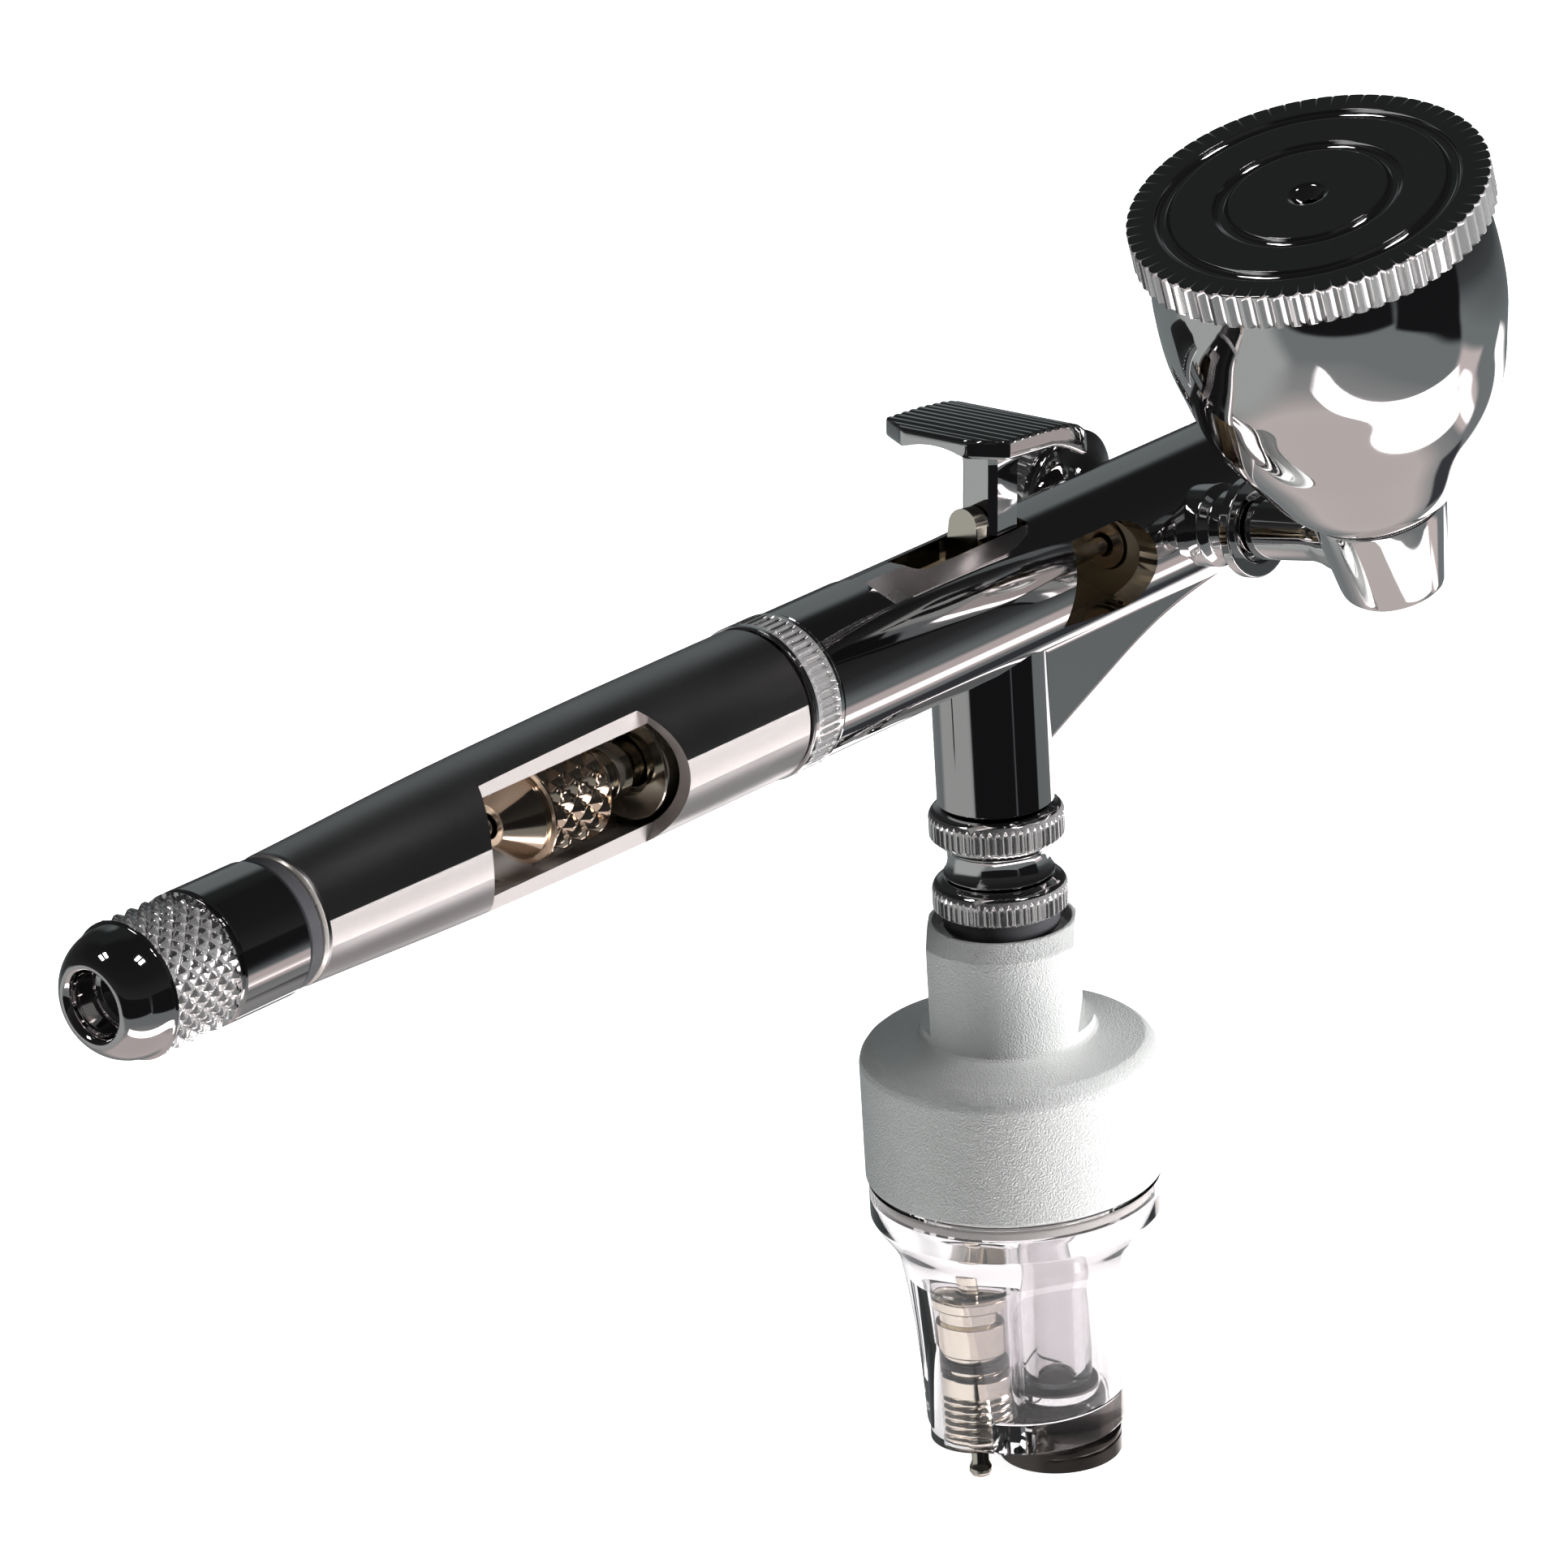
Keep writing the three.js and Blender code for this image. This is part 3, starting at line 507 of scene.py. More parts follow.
def exact_normals(mesh, surfaces, flat_area=0.3, agreement=0.985):
    """Gives each face on a known surface that surface's normals, and each large flat face its own."""
    wanted = [Vector((0, 0, 0))] * len(mesh.loops)
    for face in mesh.polygons:
        corners = [mesh.vertices[i].co for i in face.vertices]
        chosen = None
        for surface in surfaces:
            normals = [surface(c) for c in corners]
            if all(n is not None and abs(n.dot(face.normal)) > agreement for n in normals):
                chosen = [n if n.dot(face.normal) > 0 else -n for n in normals]
                break
        if chosen is None and face.area > flat_area:
            chosen = [face.normal.copy()] * len(corners)
        if chosen:
            for i, n in zip(face.loop_indices, chosen):
                wanted[i] = n
    mesh.normals_split_custom_set(wanted)


def finished(made, node, surfaces=(), sharp=32):
    """Scales a mesh to metres, puts it in its place, and lets it stand for its CAD node."""
    mesh = made.data
    made.name = node + "_finished"
    for face in mesh.polygons:
        face.use_smooth = True
    mesh.set_sharp_from_angle(angle=math.radians(sharp))
    if surfaces:
        exact_normals(mesh, surfaces)
    mesh.transform(Matrix.Scale(MM, 4))
    made.matrix_world = Matrix.Translation(CROSSING)
    mesh.materials.clear()
    mesh.materials.append(MATERIALS[SLOT_OF[node]])
    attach(made, BODY_OF[node])
    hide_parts(node)
    return made


def refinish(made, material, chosen):
    """Gives another finish to the faces that chosen() picks by their middle, in mm, and their normal."""
    made.data.materials.append(material)
    index = len(made.data.materials) - 1
    for face in made.data.polygons:
        if chosen(face.center / MM, face.normal):
            face.material_index = index


def turned_piece(node, outline, place=UPRIGHT, around=128, limit=None, corner=0.15, knurl=None):
    """A turned node; knurl is the start, end and least radius of teeth that get the matt finish."""
    made = finished(lathe(node, outline, place, around, limit, corner), node)
    if knurl:
        start, end, least = knurl
        inverse = place.inverted()

        def on_teeth(point, normal):
            local = inverse @ point
            return start < local.z < end and math.hypot(local.x, local.y) > least

        refinish(made, KNURL_FINISH, on_teeth)
    return made


# ---------------- barrel, stem and web

BARREL_RADIUS = 6.0
STEM_RADIUS = 4.68
BORE_RADIUS = 4.2


def web():
    """The plate under the barrel: its lower edge is rounded and sweeps up from the stem to the nose."""
    edge = through([(3.0, -14.2), (6.1, -12.9), (9.3, -11.57), (12.4, -10.3), (15.5, -9.05), (19, -7.85),
                    (23.6, -6.8), (29.6, -5.9)], 40)
    half, top, rounding = 2.2, -4.5, 0.9
    sections = []
    for x, bottom in edge:
        high = max(top, bottom + rounding + 0.05)
        under = arc((half - rounding, bottom + rounding), rounding, -90, 0, 15)
        right = [(x, y, z) for y, z in under] + [(x, half, high)]
        left = [(x, -y, z) for x, y, z in reversed(right)]
        sections.append(right + left)
    return loft("web", sections)


def side_opening():
    """The window in the barrel's side: a slanted rear edge and a round nose."""
    nose = arc((10.9, 0.35), 3.55, -90, 90, 24)
    return prism("opening", [(5.4, 3.9), (2.8, -2.3)] + nose, -BARREL_RADIUS - 1, -1.4)


def seen_from_above(made, turn=0.0):
    """Lays a prism's outline across X and Y, then tilts the prism about the barrel's axis."""
    made.data.transform(Matrix.Rotation(math.radians(turn - 90), 4, "X"))
    return made


FACET_TILT = 22
FACET_DEPTH = 5.78


def facet_beside_slot(side):
    """A shallow facet along the slot; its rear end is round and its front end runs out."""
    rear = arc((-10.4, 0), 5.0, 133, 227, 20)
    outline = rear + [(-3, -3.4), (-3, -1.75), (0, -1.4), (2, -0.8), (3.2, 0.2), (3.3, 3.5)]
    outline = [(x, -side * y) for x, y in outline]
    return seen_from_above(prism("facet", outline, -BARREL_RADIUS - 1, -FACET_DEPTH), -FACET_TILT * side)


def trigger_slot():
    """The slot in the barrel's top, round at the rear and square at the front."""
    outline = arc((-8.6, 0), 1.9, 90, 270, 20) + [(3.25, -1.9), (3.25, 1.9)]
    return seen_from_above(prism("slot", outline, -BARREL_RADIUS - 1, -1))


def main_body():
    tube = lathe("tube", [(-33, 0), (-33, 5), (-24.4, 5), (-24.4, 5.85), (-24.25, BARREL_RADIUS),
                          (29.85, BARREL_RADIUS), (30, 5.85), (30, 0)], ALONG, 160, corner=0)
    stem = lathe("stem", [(-16.9, 0), (-16.9, 4.53), (-16.75, STEM_RADIUS), (-3.2, STEM_RADIUS),
                          (-3.2, 0)], UPRIGHT, 128, corner=0)
    tools = [
        rod("bore", -34, 15.4, BORE_RADIUS, ALONG, 128),
        rod("packing", 15, 18.6, 2.2, ALONG, 48),
        rod("passage", 18, 31, 1.5, ALONG, 48),
        rod("socket", 25.6, 31, 4.1, ALONG, 96),
        rod("valve_passage", -8.4, -3, 2.4, UPRIGHT, 64),
        rod("valve_chamber", -18, -7.4, 3.1, UPRIGHT, 96),
        side_opening(),
        trigger_slot(),
        facet_beside_slot(-1),
        facet_beside_slot(1),
    ]
    whole = cut(join(tube, stem, web()), *tools)
    facets = [flat_surface(FACET_TILT, -FACET_DEPTH), flat_surface(-FACET_TILT, -FACET_DEPTH)]
    surfaces = facets + [
        round_surface(-24.3, 29.9, BARREL_RADIUS, ALONG),
        round_surface(-16.8, -3.2, STEM_RADIUS),
        round_surface(-33, 15.4, BORE_RADIUS, ALONG),
        round_surface(-33, -24.4, 5.0, ALONG),
    ]
    body = finished(whole, "main_body", surfaces=surfaces, sharp=9)

    def in_bore(point, normal):
        return math.hypot(point.y, point.z) < BORE_RADIUS + 0.05

    def on_facet(point, normal):
        return any(facet(point) is not None for facet in facets)

    refinish(body, BARREL_BORE_FINISH, in_bore)
    refinish(body, FACET_FINISH, on_facet)


main_body()
turned_piece(
    "rear_collar",
    [(-27.95, 5.2), (-27.95, 6.15)] + rows(-27.7, -24.8, 6.15, 20)
    + [(-24.55, 6.15), (-24.55, 5.2), (-27.95, 5.2)],
    ALONG, 56 * 8, teeth(56, 6.15, 0.3, -27.55, -24.95, 0.55), corner=0.1, knurl=(-27.6, -24.9, 5.7))

# ---------------- paint ports

turned_piece(
    "cup_port_bush",
    [(4.6, 2.1), (4.6, 3.4), (7.1, 3.4), (7.7, 2.75), (9.2, 2.75), (9.8, 4.1), (10.8, 4.1), (10.8, 2.9),
     (10.5, 2.75), (10.5, 2.1), (4.6, 2.1)],
    CUP_PORT)
bell = through([(5.0, 2.9), (6.6, 3.0), (7.6, 3.9), (8.3, 4.95), (8.6, 5.2)], 14)
turned_piece("plug_port_bush", [(5.0, 2.1)] + bell + [(9.0, 5.2), (9.0, 2.1), (5.0, 2.1)], PLUG_PORT)
turned_piece(
    "port_plug",
    [(4.2, 0), (4.2, 1.75), (9.5, 1.75), (9.5, 4.4), (9.8, 4.7)] + rows(9.85, 12.45, 4.7, 16)
    + [(12.5, 4.7), (13, 4.2), (13, 1.6), (12.7, 1.2), (12.7, 0)],
    PLUG_PORT, 37 * 8, teeth(37, 4.7, 0.3, 9.8, 12.5, 0.5), knurl=(9.85, 12.45, 4.3))
turned_piece("plug_gasket", [(9.1, 2.2), (9.1, 3.9), (9.4, 3.9), (9.4, 2.2), (9.1, 2.2)],
             PLUG_PORT, 64, corner=0.08)

# ---------------- needle and what draws it back

turned_piece("needle", [(-64, 0), (-64, 0.6), (-63.85, 0.75), (36, 0.75), (49.5, 0)],
             ALONG, 48, corner=0.05)
turned_piece(
    "chucking_guide",
    [(-47.2, 1), (-47.2, 1.7), (-45.8, 1.7), (-45.8, 2.2), (-44.2, 2.2), (-44.2, 1.7), (-15, 1.7),
     (-15, 2.6), (-14, 2.6), (-14, 1.7), (-5.1, 1.7), (-5.1, 2.6), (-3.9, 2.6), (-3.9, 1), (-47.2, 1)],
    ALONG, 64, corner=0.08)
turned_piece(
    "chuck_nut",
    [(-57.8, 1), (-57.8, 1.6), (-55.1, 3.5), (-54.95, 3.3), (-54.75, 3.3), (-54.6, 3.9)]
    + rows(-54.5, -48.7, 4.0, 36) + [(-48.5, 3.9), (-48.3, 2.8), (-47.4, 2.8), (-47.4, 1), (-57.8, 1)],
    ALONG, 12 * 16, diamonds(12, 4.0, 0.5, -54.5, -48.7, 1.933), corner=0.08)
turned_piece(
    "spring_case",
    [(-43, 2.5), (-43, 4.3), (-42.9, 4.4), (-40.5, 4.4), (-40.5, 3.9), (-11, 3.9), (-11, 2.95),
     (-39.3, 2.95), (-39.3, 2), (-42.2, 2), (-42.2, 2.5), (-43, 2.5)],
    ALONG, 96, corner=0.08)
turned_piece("packing_screw", [(15, 1), (15, 2), (16.8, 2), (16.8, 1), (15, 1)], ALONG, 48, corner=0.1)
turned_piece("needle_stop_rod", [(-91.5, 0), (-91.5, 1.2), (-71.4, 1.2), (-71.2, 1.0), (-71.2, 0)],
             ALONG, 48, corner=0.05)


def auxiliary_lever():
    """A flat lever with a round head, slotted to straddle the needle."""
    pivot_x, pivot_z, half_depth, lean = -2.8, -3.3, 0.75, math.radians(7)
    side = [(0.8, pivot_z - 0.3), (1.4, pivot_z - 0.15), (1.85, pivot_z + 0.2), (2, pivot_z + 0.6),
            (2, 2.8), (1.4, 3.3)]
    outline = side + arc((0, 6.6), 1.4, 0, 180, 24) + [(-y, z) for y, z in reversed(side)]
    bm = bmesh.new()
    faces = []
    for x in (-half_depth, half_depth):
        faces.append(bm.faces.new([bm.verts.new((x, y, z)) for y, z in outline]))
    near, far = (list(face.verts) for face in faces)
    for k in range(len(near)):
        n = (k + 1) % len(near)
        bm.faces.new((near[k], near[n], far[n], far[k]))
    rims = [e for e in bm.edges if len({round(v.co.x, 3) for v in e.verts}) == 1]
    bmesh.ops.bevel(bm, geom=rims, offset=0.22, segments=3, profile=0.5, affect="EDGES",
                    clamp_overlap=True)
    plate = new_object("lever", bm)
    slot = prism("needle_slot", [(-2, -1.3), (-2, 2.2), (2, 2.2), (2, -1.3)], -0.95, 0.95)
    plate = cut(plate, slot)
    to_pivot = Matrix.Translation((0, 0, -pivot_z))
    place = Matrix.Translation((pivot_x, 0, pivot_z)) @ Matrix.Rotation(lean, 4, "Y") @ to_pivot
    plate.data.transform(place)
    return finished(plate, "auxiliary_lever")


auxiliary_lever()

# ---------------- trigger

TRIGGER_PLACE = Matrix.Translation((0, 0, -3.7)) @ Matrix.Rotation(math.radians(5), 4, "Y")
PAD_REAR = -6.95
PAD_CHAMFER_FRONT = -5.1
PAD_HALF_WIDTH = 6.2
PAD_REAR_HALF_WIDTH = 3.2
RIDGES_REAR = -6.4
RIDGES_FRONT = 3.3
RIDGE_PITCH = 0.95
RIDGE_DEPTH = 0.24


def chamfered(x0, x1, half, chamfer, z):
    """A rectangle in X and Y with its corners cut off, at height z."""
    c = chamfer
    return [(x0 + c, -half, z), (x1 - c, -half, z), (x1, -half + c, z), (x1, half - c, z),
            (x1 - c, half, z), (x0 + c, half, z), (x0, half - c, z), (x0, -half + c, z)]


def trigger_stem():
    """The post between the arms and the pad, which flares into the pad's underside."""
    sections = [chamfered(-0.9, 0.9, 1.6, 0.1, 7.9), chamfered(-1.0, 1.1, 1.65, 0.2, 8.1)]
    sections += [chamfered(-1.5, 1.9, 1.75, 0.5, 8.8), chamfered(-1.55, 1.95, 1.75, 0.55, 9.1)]
    for k in range(13):
        angle = math.radians(90 * k / 12)
        front = 1.95 + 2.5 * (1 - math.cos(angle))
        rear = 1.55 + 2.5 * (1 - math.cos(angle)) ** 1.4
        half = 1.75 + 2.2 * (1 - math.cos(angle)) ** 1.6
        sections.append(chamfered(-rear, front, half, 0.55, 13.9 + 3.1 * math.sin(angle)))
    return loft("trigger_stem", sections)


def trigger_arms():
    """The lower end: two arms that straddle the needle, joined above and below it, and a round foot."""
    def plate(name, low, high, z0, z1):
        return prism(name, [(-0.9, z0), (0.9, z0), (0.9, z1), (-0.9, z1)], low, high)

    foot = lathe("foot", [(-1.6, 0), (-1.6, 0.8), (-1.5, 0.9), (1.5, 0.9), (1.6, 0.8), (1.6, 0)],
                 Matrix.Rotation(math.radians(90), 4, "X"), 48, corner=0)
    return gathered(foot, plate("left", -1.6, -0.95, 0, 8.1), plate("right", 0.95, 1.6, 0, 8.1),
                    plate("bridge", -1.6, 1.6, 0, 2.3), plate("neck", -1.6, 1.6, 7.85, 8.1))


def pad_heights(x):
    """The pad's top, without its ridges, and its underside at the middle of its length."""
    top = np.interp(x, [-6.95, -4, -1, 1.6, 2.9, 3.7, 4.3, 4.65, 4.8],
                    [18.2, 18.36, 18.4, 18.3, 18.14, 17.9, 17.5, 17.0, 16.5])
    under = np.interp(x, [-6.95, 0.4, 1.6, 2.6, 3.4, 4.1, 4.8],
                      [16.72, 16.72, 16.45, 16.1, 15.75, 15.4, 15.25])
    return float(top), float(under)


def trigger_pad():
    """The finger pad: ridged top, arched underside, cut rear corners, and a drooping front lip."""
    sections = []
    ends = [(PAD_REAR, 0.35), (PAD_REAR + 0.05, 0.15), (PAD_REAR + 0.15, 0.04)]
    body = [(PAD_REAR + 0.25 + k * RIDGE_PITCH / 8, 0) for k in range(int(11.1 / RIDGE_PITCH * 8))]
    tips = [(4.55, 0.04), (4.7, 0.14), (4.8, 0.32)]
    for x, inset in ends + body + tips:
        top, under = pad_heights(x)
        rear_part = max(0.0, (PAD_CHAMFER_FRONT - x) / (PAD_CHAMFER_FRONT - PAD_REAR))
        half = PAD_HALF_WIDTH - (PAD_HALF_WIDTH - PAD_REAR_HALF_WIDTH) * rear_part - inset
        top -= inset
        under += inset
        ridge = 0.0
        if RIDGES_REAR < x < RIDGES_FRONT:
            phase = (x - RIDGES_REAR) / RIDGE_PITCH % 1.0
            ridge = RIDGE_DEPTH * (math.sin(math.pi * phase) ** 0.8 - 1.0)
        r = min(0.32, (top - under) / 2.6)
        corners = arc((half - r, top - r), r, 0, 90, 5) + arc((-half + r, top - r), r, 90, 180, 5)
        ring = [(y, z + ridge if z > top - 0.62 * r else z) for y, z in corners]
        ring += arc((-half + r, under + r), r, 180, 270, 5)
        reach = half - r - 0.2
        for k in range(1, 16):
            y = reach * (k / 8 - 1)
            ring.append((y, under + 0.5 * (1 - (y / reach) ** 2)))
        ring += arc((half - r, under + r), r, 270, 360, 5)
        sections.append([(x, y, z) for y, z in ring])
    return loft("pad", sections)


trigger = gathered(trigger_pad(), trigger_stem(), trigger_arms())
trigger.data.transform(TRIGGER_PLACE)
finished(trigger, "trigger", sharp=28)

# ---------------- head, nozzle and caps

turned_piece("head_gasket", [(30.1, 4.1), (30.1, 5.3), (30.7, 5.3), (30.7, 4.1), (30.1, 4.1)],
             ALONG, 96, corner=0.1)
turned_piece(
    "fluid_head",
    [(26, 1.3), (26, 3.8), (30.8, 3.8), (30.8, 6), (33.2, 6), (33.6, 4.4), (37.4, 4.4), (37.4, 2.3),
     (34, 2.3), (34, 1.3), (26, 1.3)],
    ALONG, 160)
turned_piece(
    "nozzle",
    [(34.2, 1.05), (34.2, 2), (37.6, 2), (37.6, 2.5), (38.4, 2.5), (38.4, 1.7), (47.4, 0.75),
     (47.4, 0.4), (36, 1.05), (34.2, 1.05)],
    ALONG, 64, corner=0.08)
turned_piece(
    "nozzle_cap",
    [(33.9, 4.7), (33.9, 5.9)] + rows(34.3, 38.0, 5.9, 22)
    + [(38.6, 5.9), (39.4, 5.3), (44, 2.5), (47.9, 2.4), (47.9, 1.05), (46.6, 1.3), (38.9, 3.6),
       (38.3, 4.7), (33.9, 4.7)],
    ALONG, 46 * 8, teeth(46, 5.9, 0.28, 34.3, 38.0, 0.5), knurl=(34.3, 38.0, 5.5))
turned_piece(
    "needle_cap",
    [(44.8, 2.7), (44.8, 3.5), (46.0, 3.5), (46.3, 3.3), (50.4, 3.1), (51, 2.8), (51, 1.8), (50, 1.8),
     (49.6, 2.7), (44.8, 2.7)],
    ALONG, 96)

# ---------------- handle and preset knob

HANDLE_OUTSIDE = through([(-79.2, 5.02), (-75, 5.18), (-68, 5.48), (-61, 5.72), (-54, 5.86),
                          (-45, 5.98), (-38, 6.0), (-28.4, 6.0)], 40)
HANDLE_BORE = 4.9
WINDOW_DEPTH = -3.0


def handle():
    """The tapered rear cover, bored out, with a long window in its near side."""
    outline = [(-79.8, 1.5), (-79.8, 4.5), (-79.72, 4.78), (-79.5, 4.95)] + HANDLE_OUTSIDE
    outline += [(-28.15, 5.8), (-28.15, 5.2), (-33.4, 5.2), (-33.4, HANDLE_BORE), (-64.8, HANDLE_BORE),
                (-64.8, 3.2), (-71.2, 3.2), (-71.2, 1.5), (-79.8, 1.5)]
    shell = lathe("handle", outline, ALONG, 160, corner=0.06)
    rear, front, radius, sweep = -63.2, -42.1, 7.5, 62
    window = arc((rear + radius, 0), radius, 180 - sweep, 180 + sweep, 32)
    window += arc((front - radius, 0), radius, -sweep, sweep, 32)
    shell = cut(shell, prism("window", window, -BARREL_RADIUS - 1, WINDOW_DEPTH))
    surfaces = [turned_surface(HANDLE_OUTSIDE, ALONG),
                round_surface(-64.8, -33.4, HANDLE_BORE, ALONG)]
    made = finished(shell, "handle", surfaces=surfaces)

    def in_bore(point, normal):
        return math.hypot(point.y, point.z) < HANDLE_BORE + 0.05

    def on_window_cut(point, normal):
        return point.y < WINDOW_DEPTH + 0.05 and (normal.y < -0.98 or abs(normal.y) < 0.02)

    refinish(made, HANDLE_BORE_FINISH, in_bore)
    refinish(made, WINDOW_CUT_FINISH, on_window_cut)


handle()
turned_piece(
    "knob_friction_ring",
    [(-81.3, 1.6), (-81.3, 4.8), (-81.1, 4.95), (-80.1, 4.95), (-79.95, 4.8), (-79.95, 1.6),
     (-81.3, 1.6)],
    ALONG, 96, corner=0.1)
turned_piece(
    "preset_knob",
    [(-94.9, 0), (-94.9, 2.0), (-95.1, 2.4), (-97.3, 2.4)]
    + through([(-97.45, 2.45), (-97.75, 2.62), (-97.9, 2.85), (-97.85, 3.1), (-97.5, 3.6),
               (-96.6, 4.3), (-95.6, 4.7), (-94.8, 4.86)], 24)
    + [(-94.6, 4.9), (-94.45, 5.1)] + rows(-94.4, -88.4, 5.1, 40)
    + [(-88.3, 5.1), (-88.1, 4.75), (-87.9, 4.75), (-87.7, 5.1)]
    + through([(-87.62, 5.2), (-87.4, 5.42), (-86.9, 5.58), (-84.5, 5.6), (-82.4, 5.58),
               (-81.9, 5.5)], 16)
    + [(-81.5, 5.25), (-81.5, 1.5), (-92.5, 1.5), (-92.5, 0)],
    ALONG, 24 * 10, diamonds(24, 5.1, 0.4, -94.4, -88.4, 1.333), corner=0.08,
    knurl=(-94.4, -88.4, 4.6))

# ---------------- side cup

BOWL_OUTSIDE = [(-3.3, 12.9), (-4.3, 13.12), (-5.3, 13.29), (-6.5, 13.42), (-8, 13.48), (-10.9, 13.42),
                (-12.0, 13.3), (-14.0, 12.9), (-16.4, 12.4), (-18.3, 11.87), (-20.2, 11.07),
                (-22.1, 10.05), (-24.1, 8.95), (-26.0, 7.8), (-27.4, 6.6), (-28.35, 5.5)]


def cup_bowl():
    """The bowl's wall, thinned at the mouth so that the lid's skirt fits inside."""
    outside = through(BOWL_OUTSIDE, 70)
    wall, mouth, skirt_end, foot = 0.8, 12.45, -5.4, 3.9
    inside = []
    for along, radius in reversed(outside):
        least = mouth if along > skirt_end else foot
        inside.append((along, max(radius - wall, least)))
    return turned_piece("cup_bowl", outside + inside + [outside[0]], CUP, 200, corner=0.12)


def cup_base():
    """The hub under the bowl and the stem that plugs into the barrel's port."""
    hub = [(-34.6, 0), (-34.6, 3.3), (-28.5, 3.3), (-28.5, 5.45), (-29.3, 5.4), (-35.6, 4.42)]
    hub += [(-36.2, 4.25), (-36.5, 3.95), (-36.6, 3.5), (-36.6, 0)]
    stem = [(4.5, 1.1), (4.5, 1.7), (11.2, 1.85), (11.2, 2.45), (11.35, 2.6), (16.6, 2.5), (17.6, 2.7)]
    stem += [(18.6, 3.1), (21.5, 3.3), (21.5, 1.1), (4.5, 1.1)]
    keep_clear = rod("hub_bore", -34.6, -28, 3.3, CUP, 64)
    plug = cut(lathe("stem", stem, CUP_PORT, 96, corner=0.06), keep_clear)
    return finished(gathered(lathe("hub", hub, CUP, 128), plug), "cup_base")


LID_RADIUS = 14.1
LID_GROOVES = (0.8 * LID_RADIUS, 0.48 * LID_RADIUS)


def groove(radius, half=0.62, depth=0.5, steps=10):
    """Outline points of a round-bottomed groove in the lid's top, from its outer edge inwards."""
    points = []
    for k in range(steps + 1):
        across = 1 - 2 * k / steps
        points.append((-depth * math.sqrt(1 - across ** 2), radius + across * half))
    return points


def cup_lid():
    """The lid: a skirt, a knurled rim, two round grooves and a vent in its top."""
    skirt = [(-4.8, 11.6), (-4.8, 12.2), (-4.6, 12.4), (-3, 12.4), (-3, 13.85)]
    rim = [(-2.85, LID_RADIUS)] + rows(-2.8, -0.2, LID_RADIUS, 20)
    rim += [(-0.1, LID_RADIUS), (0, LID_RADIUS - 0.12)]
    top = []
    for radius in LID_GROOVES:
        top += [(0, radius + 0.75)] + groove(radius) + [(0, radius - 0.75)]
    vent = [(0, 1.6), (-0.12, 1.3), (-0.9, 0.6), (-1.6, 0.6)]
    outline = skirt + rim + top + vent + [(-1.6, 11.6), (-4.8, 11.6)]
    return turned_piece("cup_lid", outline, CUP, 68 * 10, teeth(68, LID_RADIUS, 0.55, -3.6, 0.25, 0.5),
                        corner=0.06, knurl=(-2.85, -0.05, 13.3))


cup_bowl()
cup_base()
cup_lid()

# ---------------- coupling

turned_piece(
    "stem_coupling",
    [(-20.4, 2.4), (-23, 2.4), (-23, 4.4), (-22.85, 4.5), (-22.7, 4.4)]
    + through([(-22.6, 4.32), (-22.0, 4.12), (-21.4, 4.08), (-20.8, 4.2), (-20.3, 4.6)], 14)
    + [(-20.0, 5.0), (-19.75, 5.3)] + rows(-19.6, -18.0, 5.45, 16)
    + through([(-17.9, 5.43), (-17.65, 5.32), (-17.4, 5.08), (-17.25, 4.76)], 8)
    + [(-17.1, 4.4), (-17.1, 1.6), (-20.4, 1.6), (-20.4, 2.4)],
    UPRIGHT, 50 * 8, teeth(54, 5.45, 0.4, -20.4, -17.5, 0.7), corner=0.06, knurl=(-20.4, -17.5, 4.95))
turned_piece(
    "coupling_ring",
    [(-34, 1.5), (-34, 3.6), (-25.95, 3.6), (-25.95, 5.1), (-25.8, 5.3)] + rows(-25.7, -24.2, 5.45, 16)
    + through([(-24.1, 5.43), (-23.85, 5.34), (-23.55, 5.1), (-23.38, 4.76)], 8)
    + [(-23.2, 4.4), (-23.2, 2.1), (-20.7, 2.1), (-20.7, 1.5), (-34, 1.5)],
    UPRIGHT, 50 * 8, teeth(54, 5.45, 0.4, -26.6, -23.75, 0.7), corner=0.06,
    knurl=(-26.6, -23.75, 4.95))
turned_piece(
    "coupling_o_ring",
    [(-27.6, 3.75), (-27.6, 4.5), (-27.3, 4.7), (-26.4, 4.7), (-26.1, 4.5), (-26.1, 3.75),
     (-27.6, 3.75)],
    UPRIGHT, 96, corner=0.2)

# ---------------- filter

HOUSING_RADIUS = 12.1
NECK_RADIUS = 7.0
FLAT_DISTANCE = 5.9
FLATS_ANGLE = math.degrees(math.atan2(FITTINGS_LINE.y, FITTINGS_LINE.x)) - 39


def filter_housing():
    """The metal housing, with two flats on its neck for a spanner."""
    outline = [(-48.8, 10.9), (-48.8, 11.9), (-48.6, HOUSING_RADIUS), (-38.9, HOUSING_RADIUS)]
    outline += [(-38.3, 11.95), (-37.8, 11.6), (-37.4, 11.1), (-36.75, 8.0), (-36.6, 7.3), (-36.35, 7.05)]
    outline += [(-36.1, NECK_RADIUS), (-28.2, NECK_RADIUS), (-27, 5.95), (-26.95, 5.6), (-28.4, 5.6)]
    outline += [(-28.4, 3.9), (-38.2, 3.9), (-38.2, 9.6), (-39.2, 10.9), (-48.8, 10.9)]
    shell = lathe("housing", outline, UPRIGHT, 192, corner=0.12)
    flats = []
    for side in (0, 180):
        flat = prism("flat", [(FLAT_DISTANCE, -35.6), (9, -35.6), (9, -26), (FLAT_DISTANCE, -26)], -8, 8)
        flat.data.transform(Matrix.Rotation(math.radians(FLATS_ANGLE + side), 4, "Z"))
        flats.append(flat)
    surfaces = [round_surface(-36.1, -28.25, NECK_RADIUS)]
    return finished(cut(shell, *flats), "filter_housing", surfaces=surfaces)


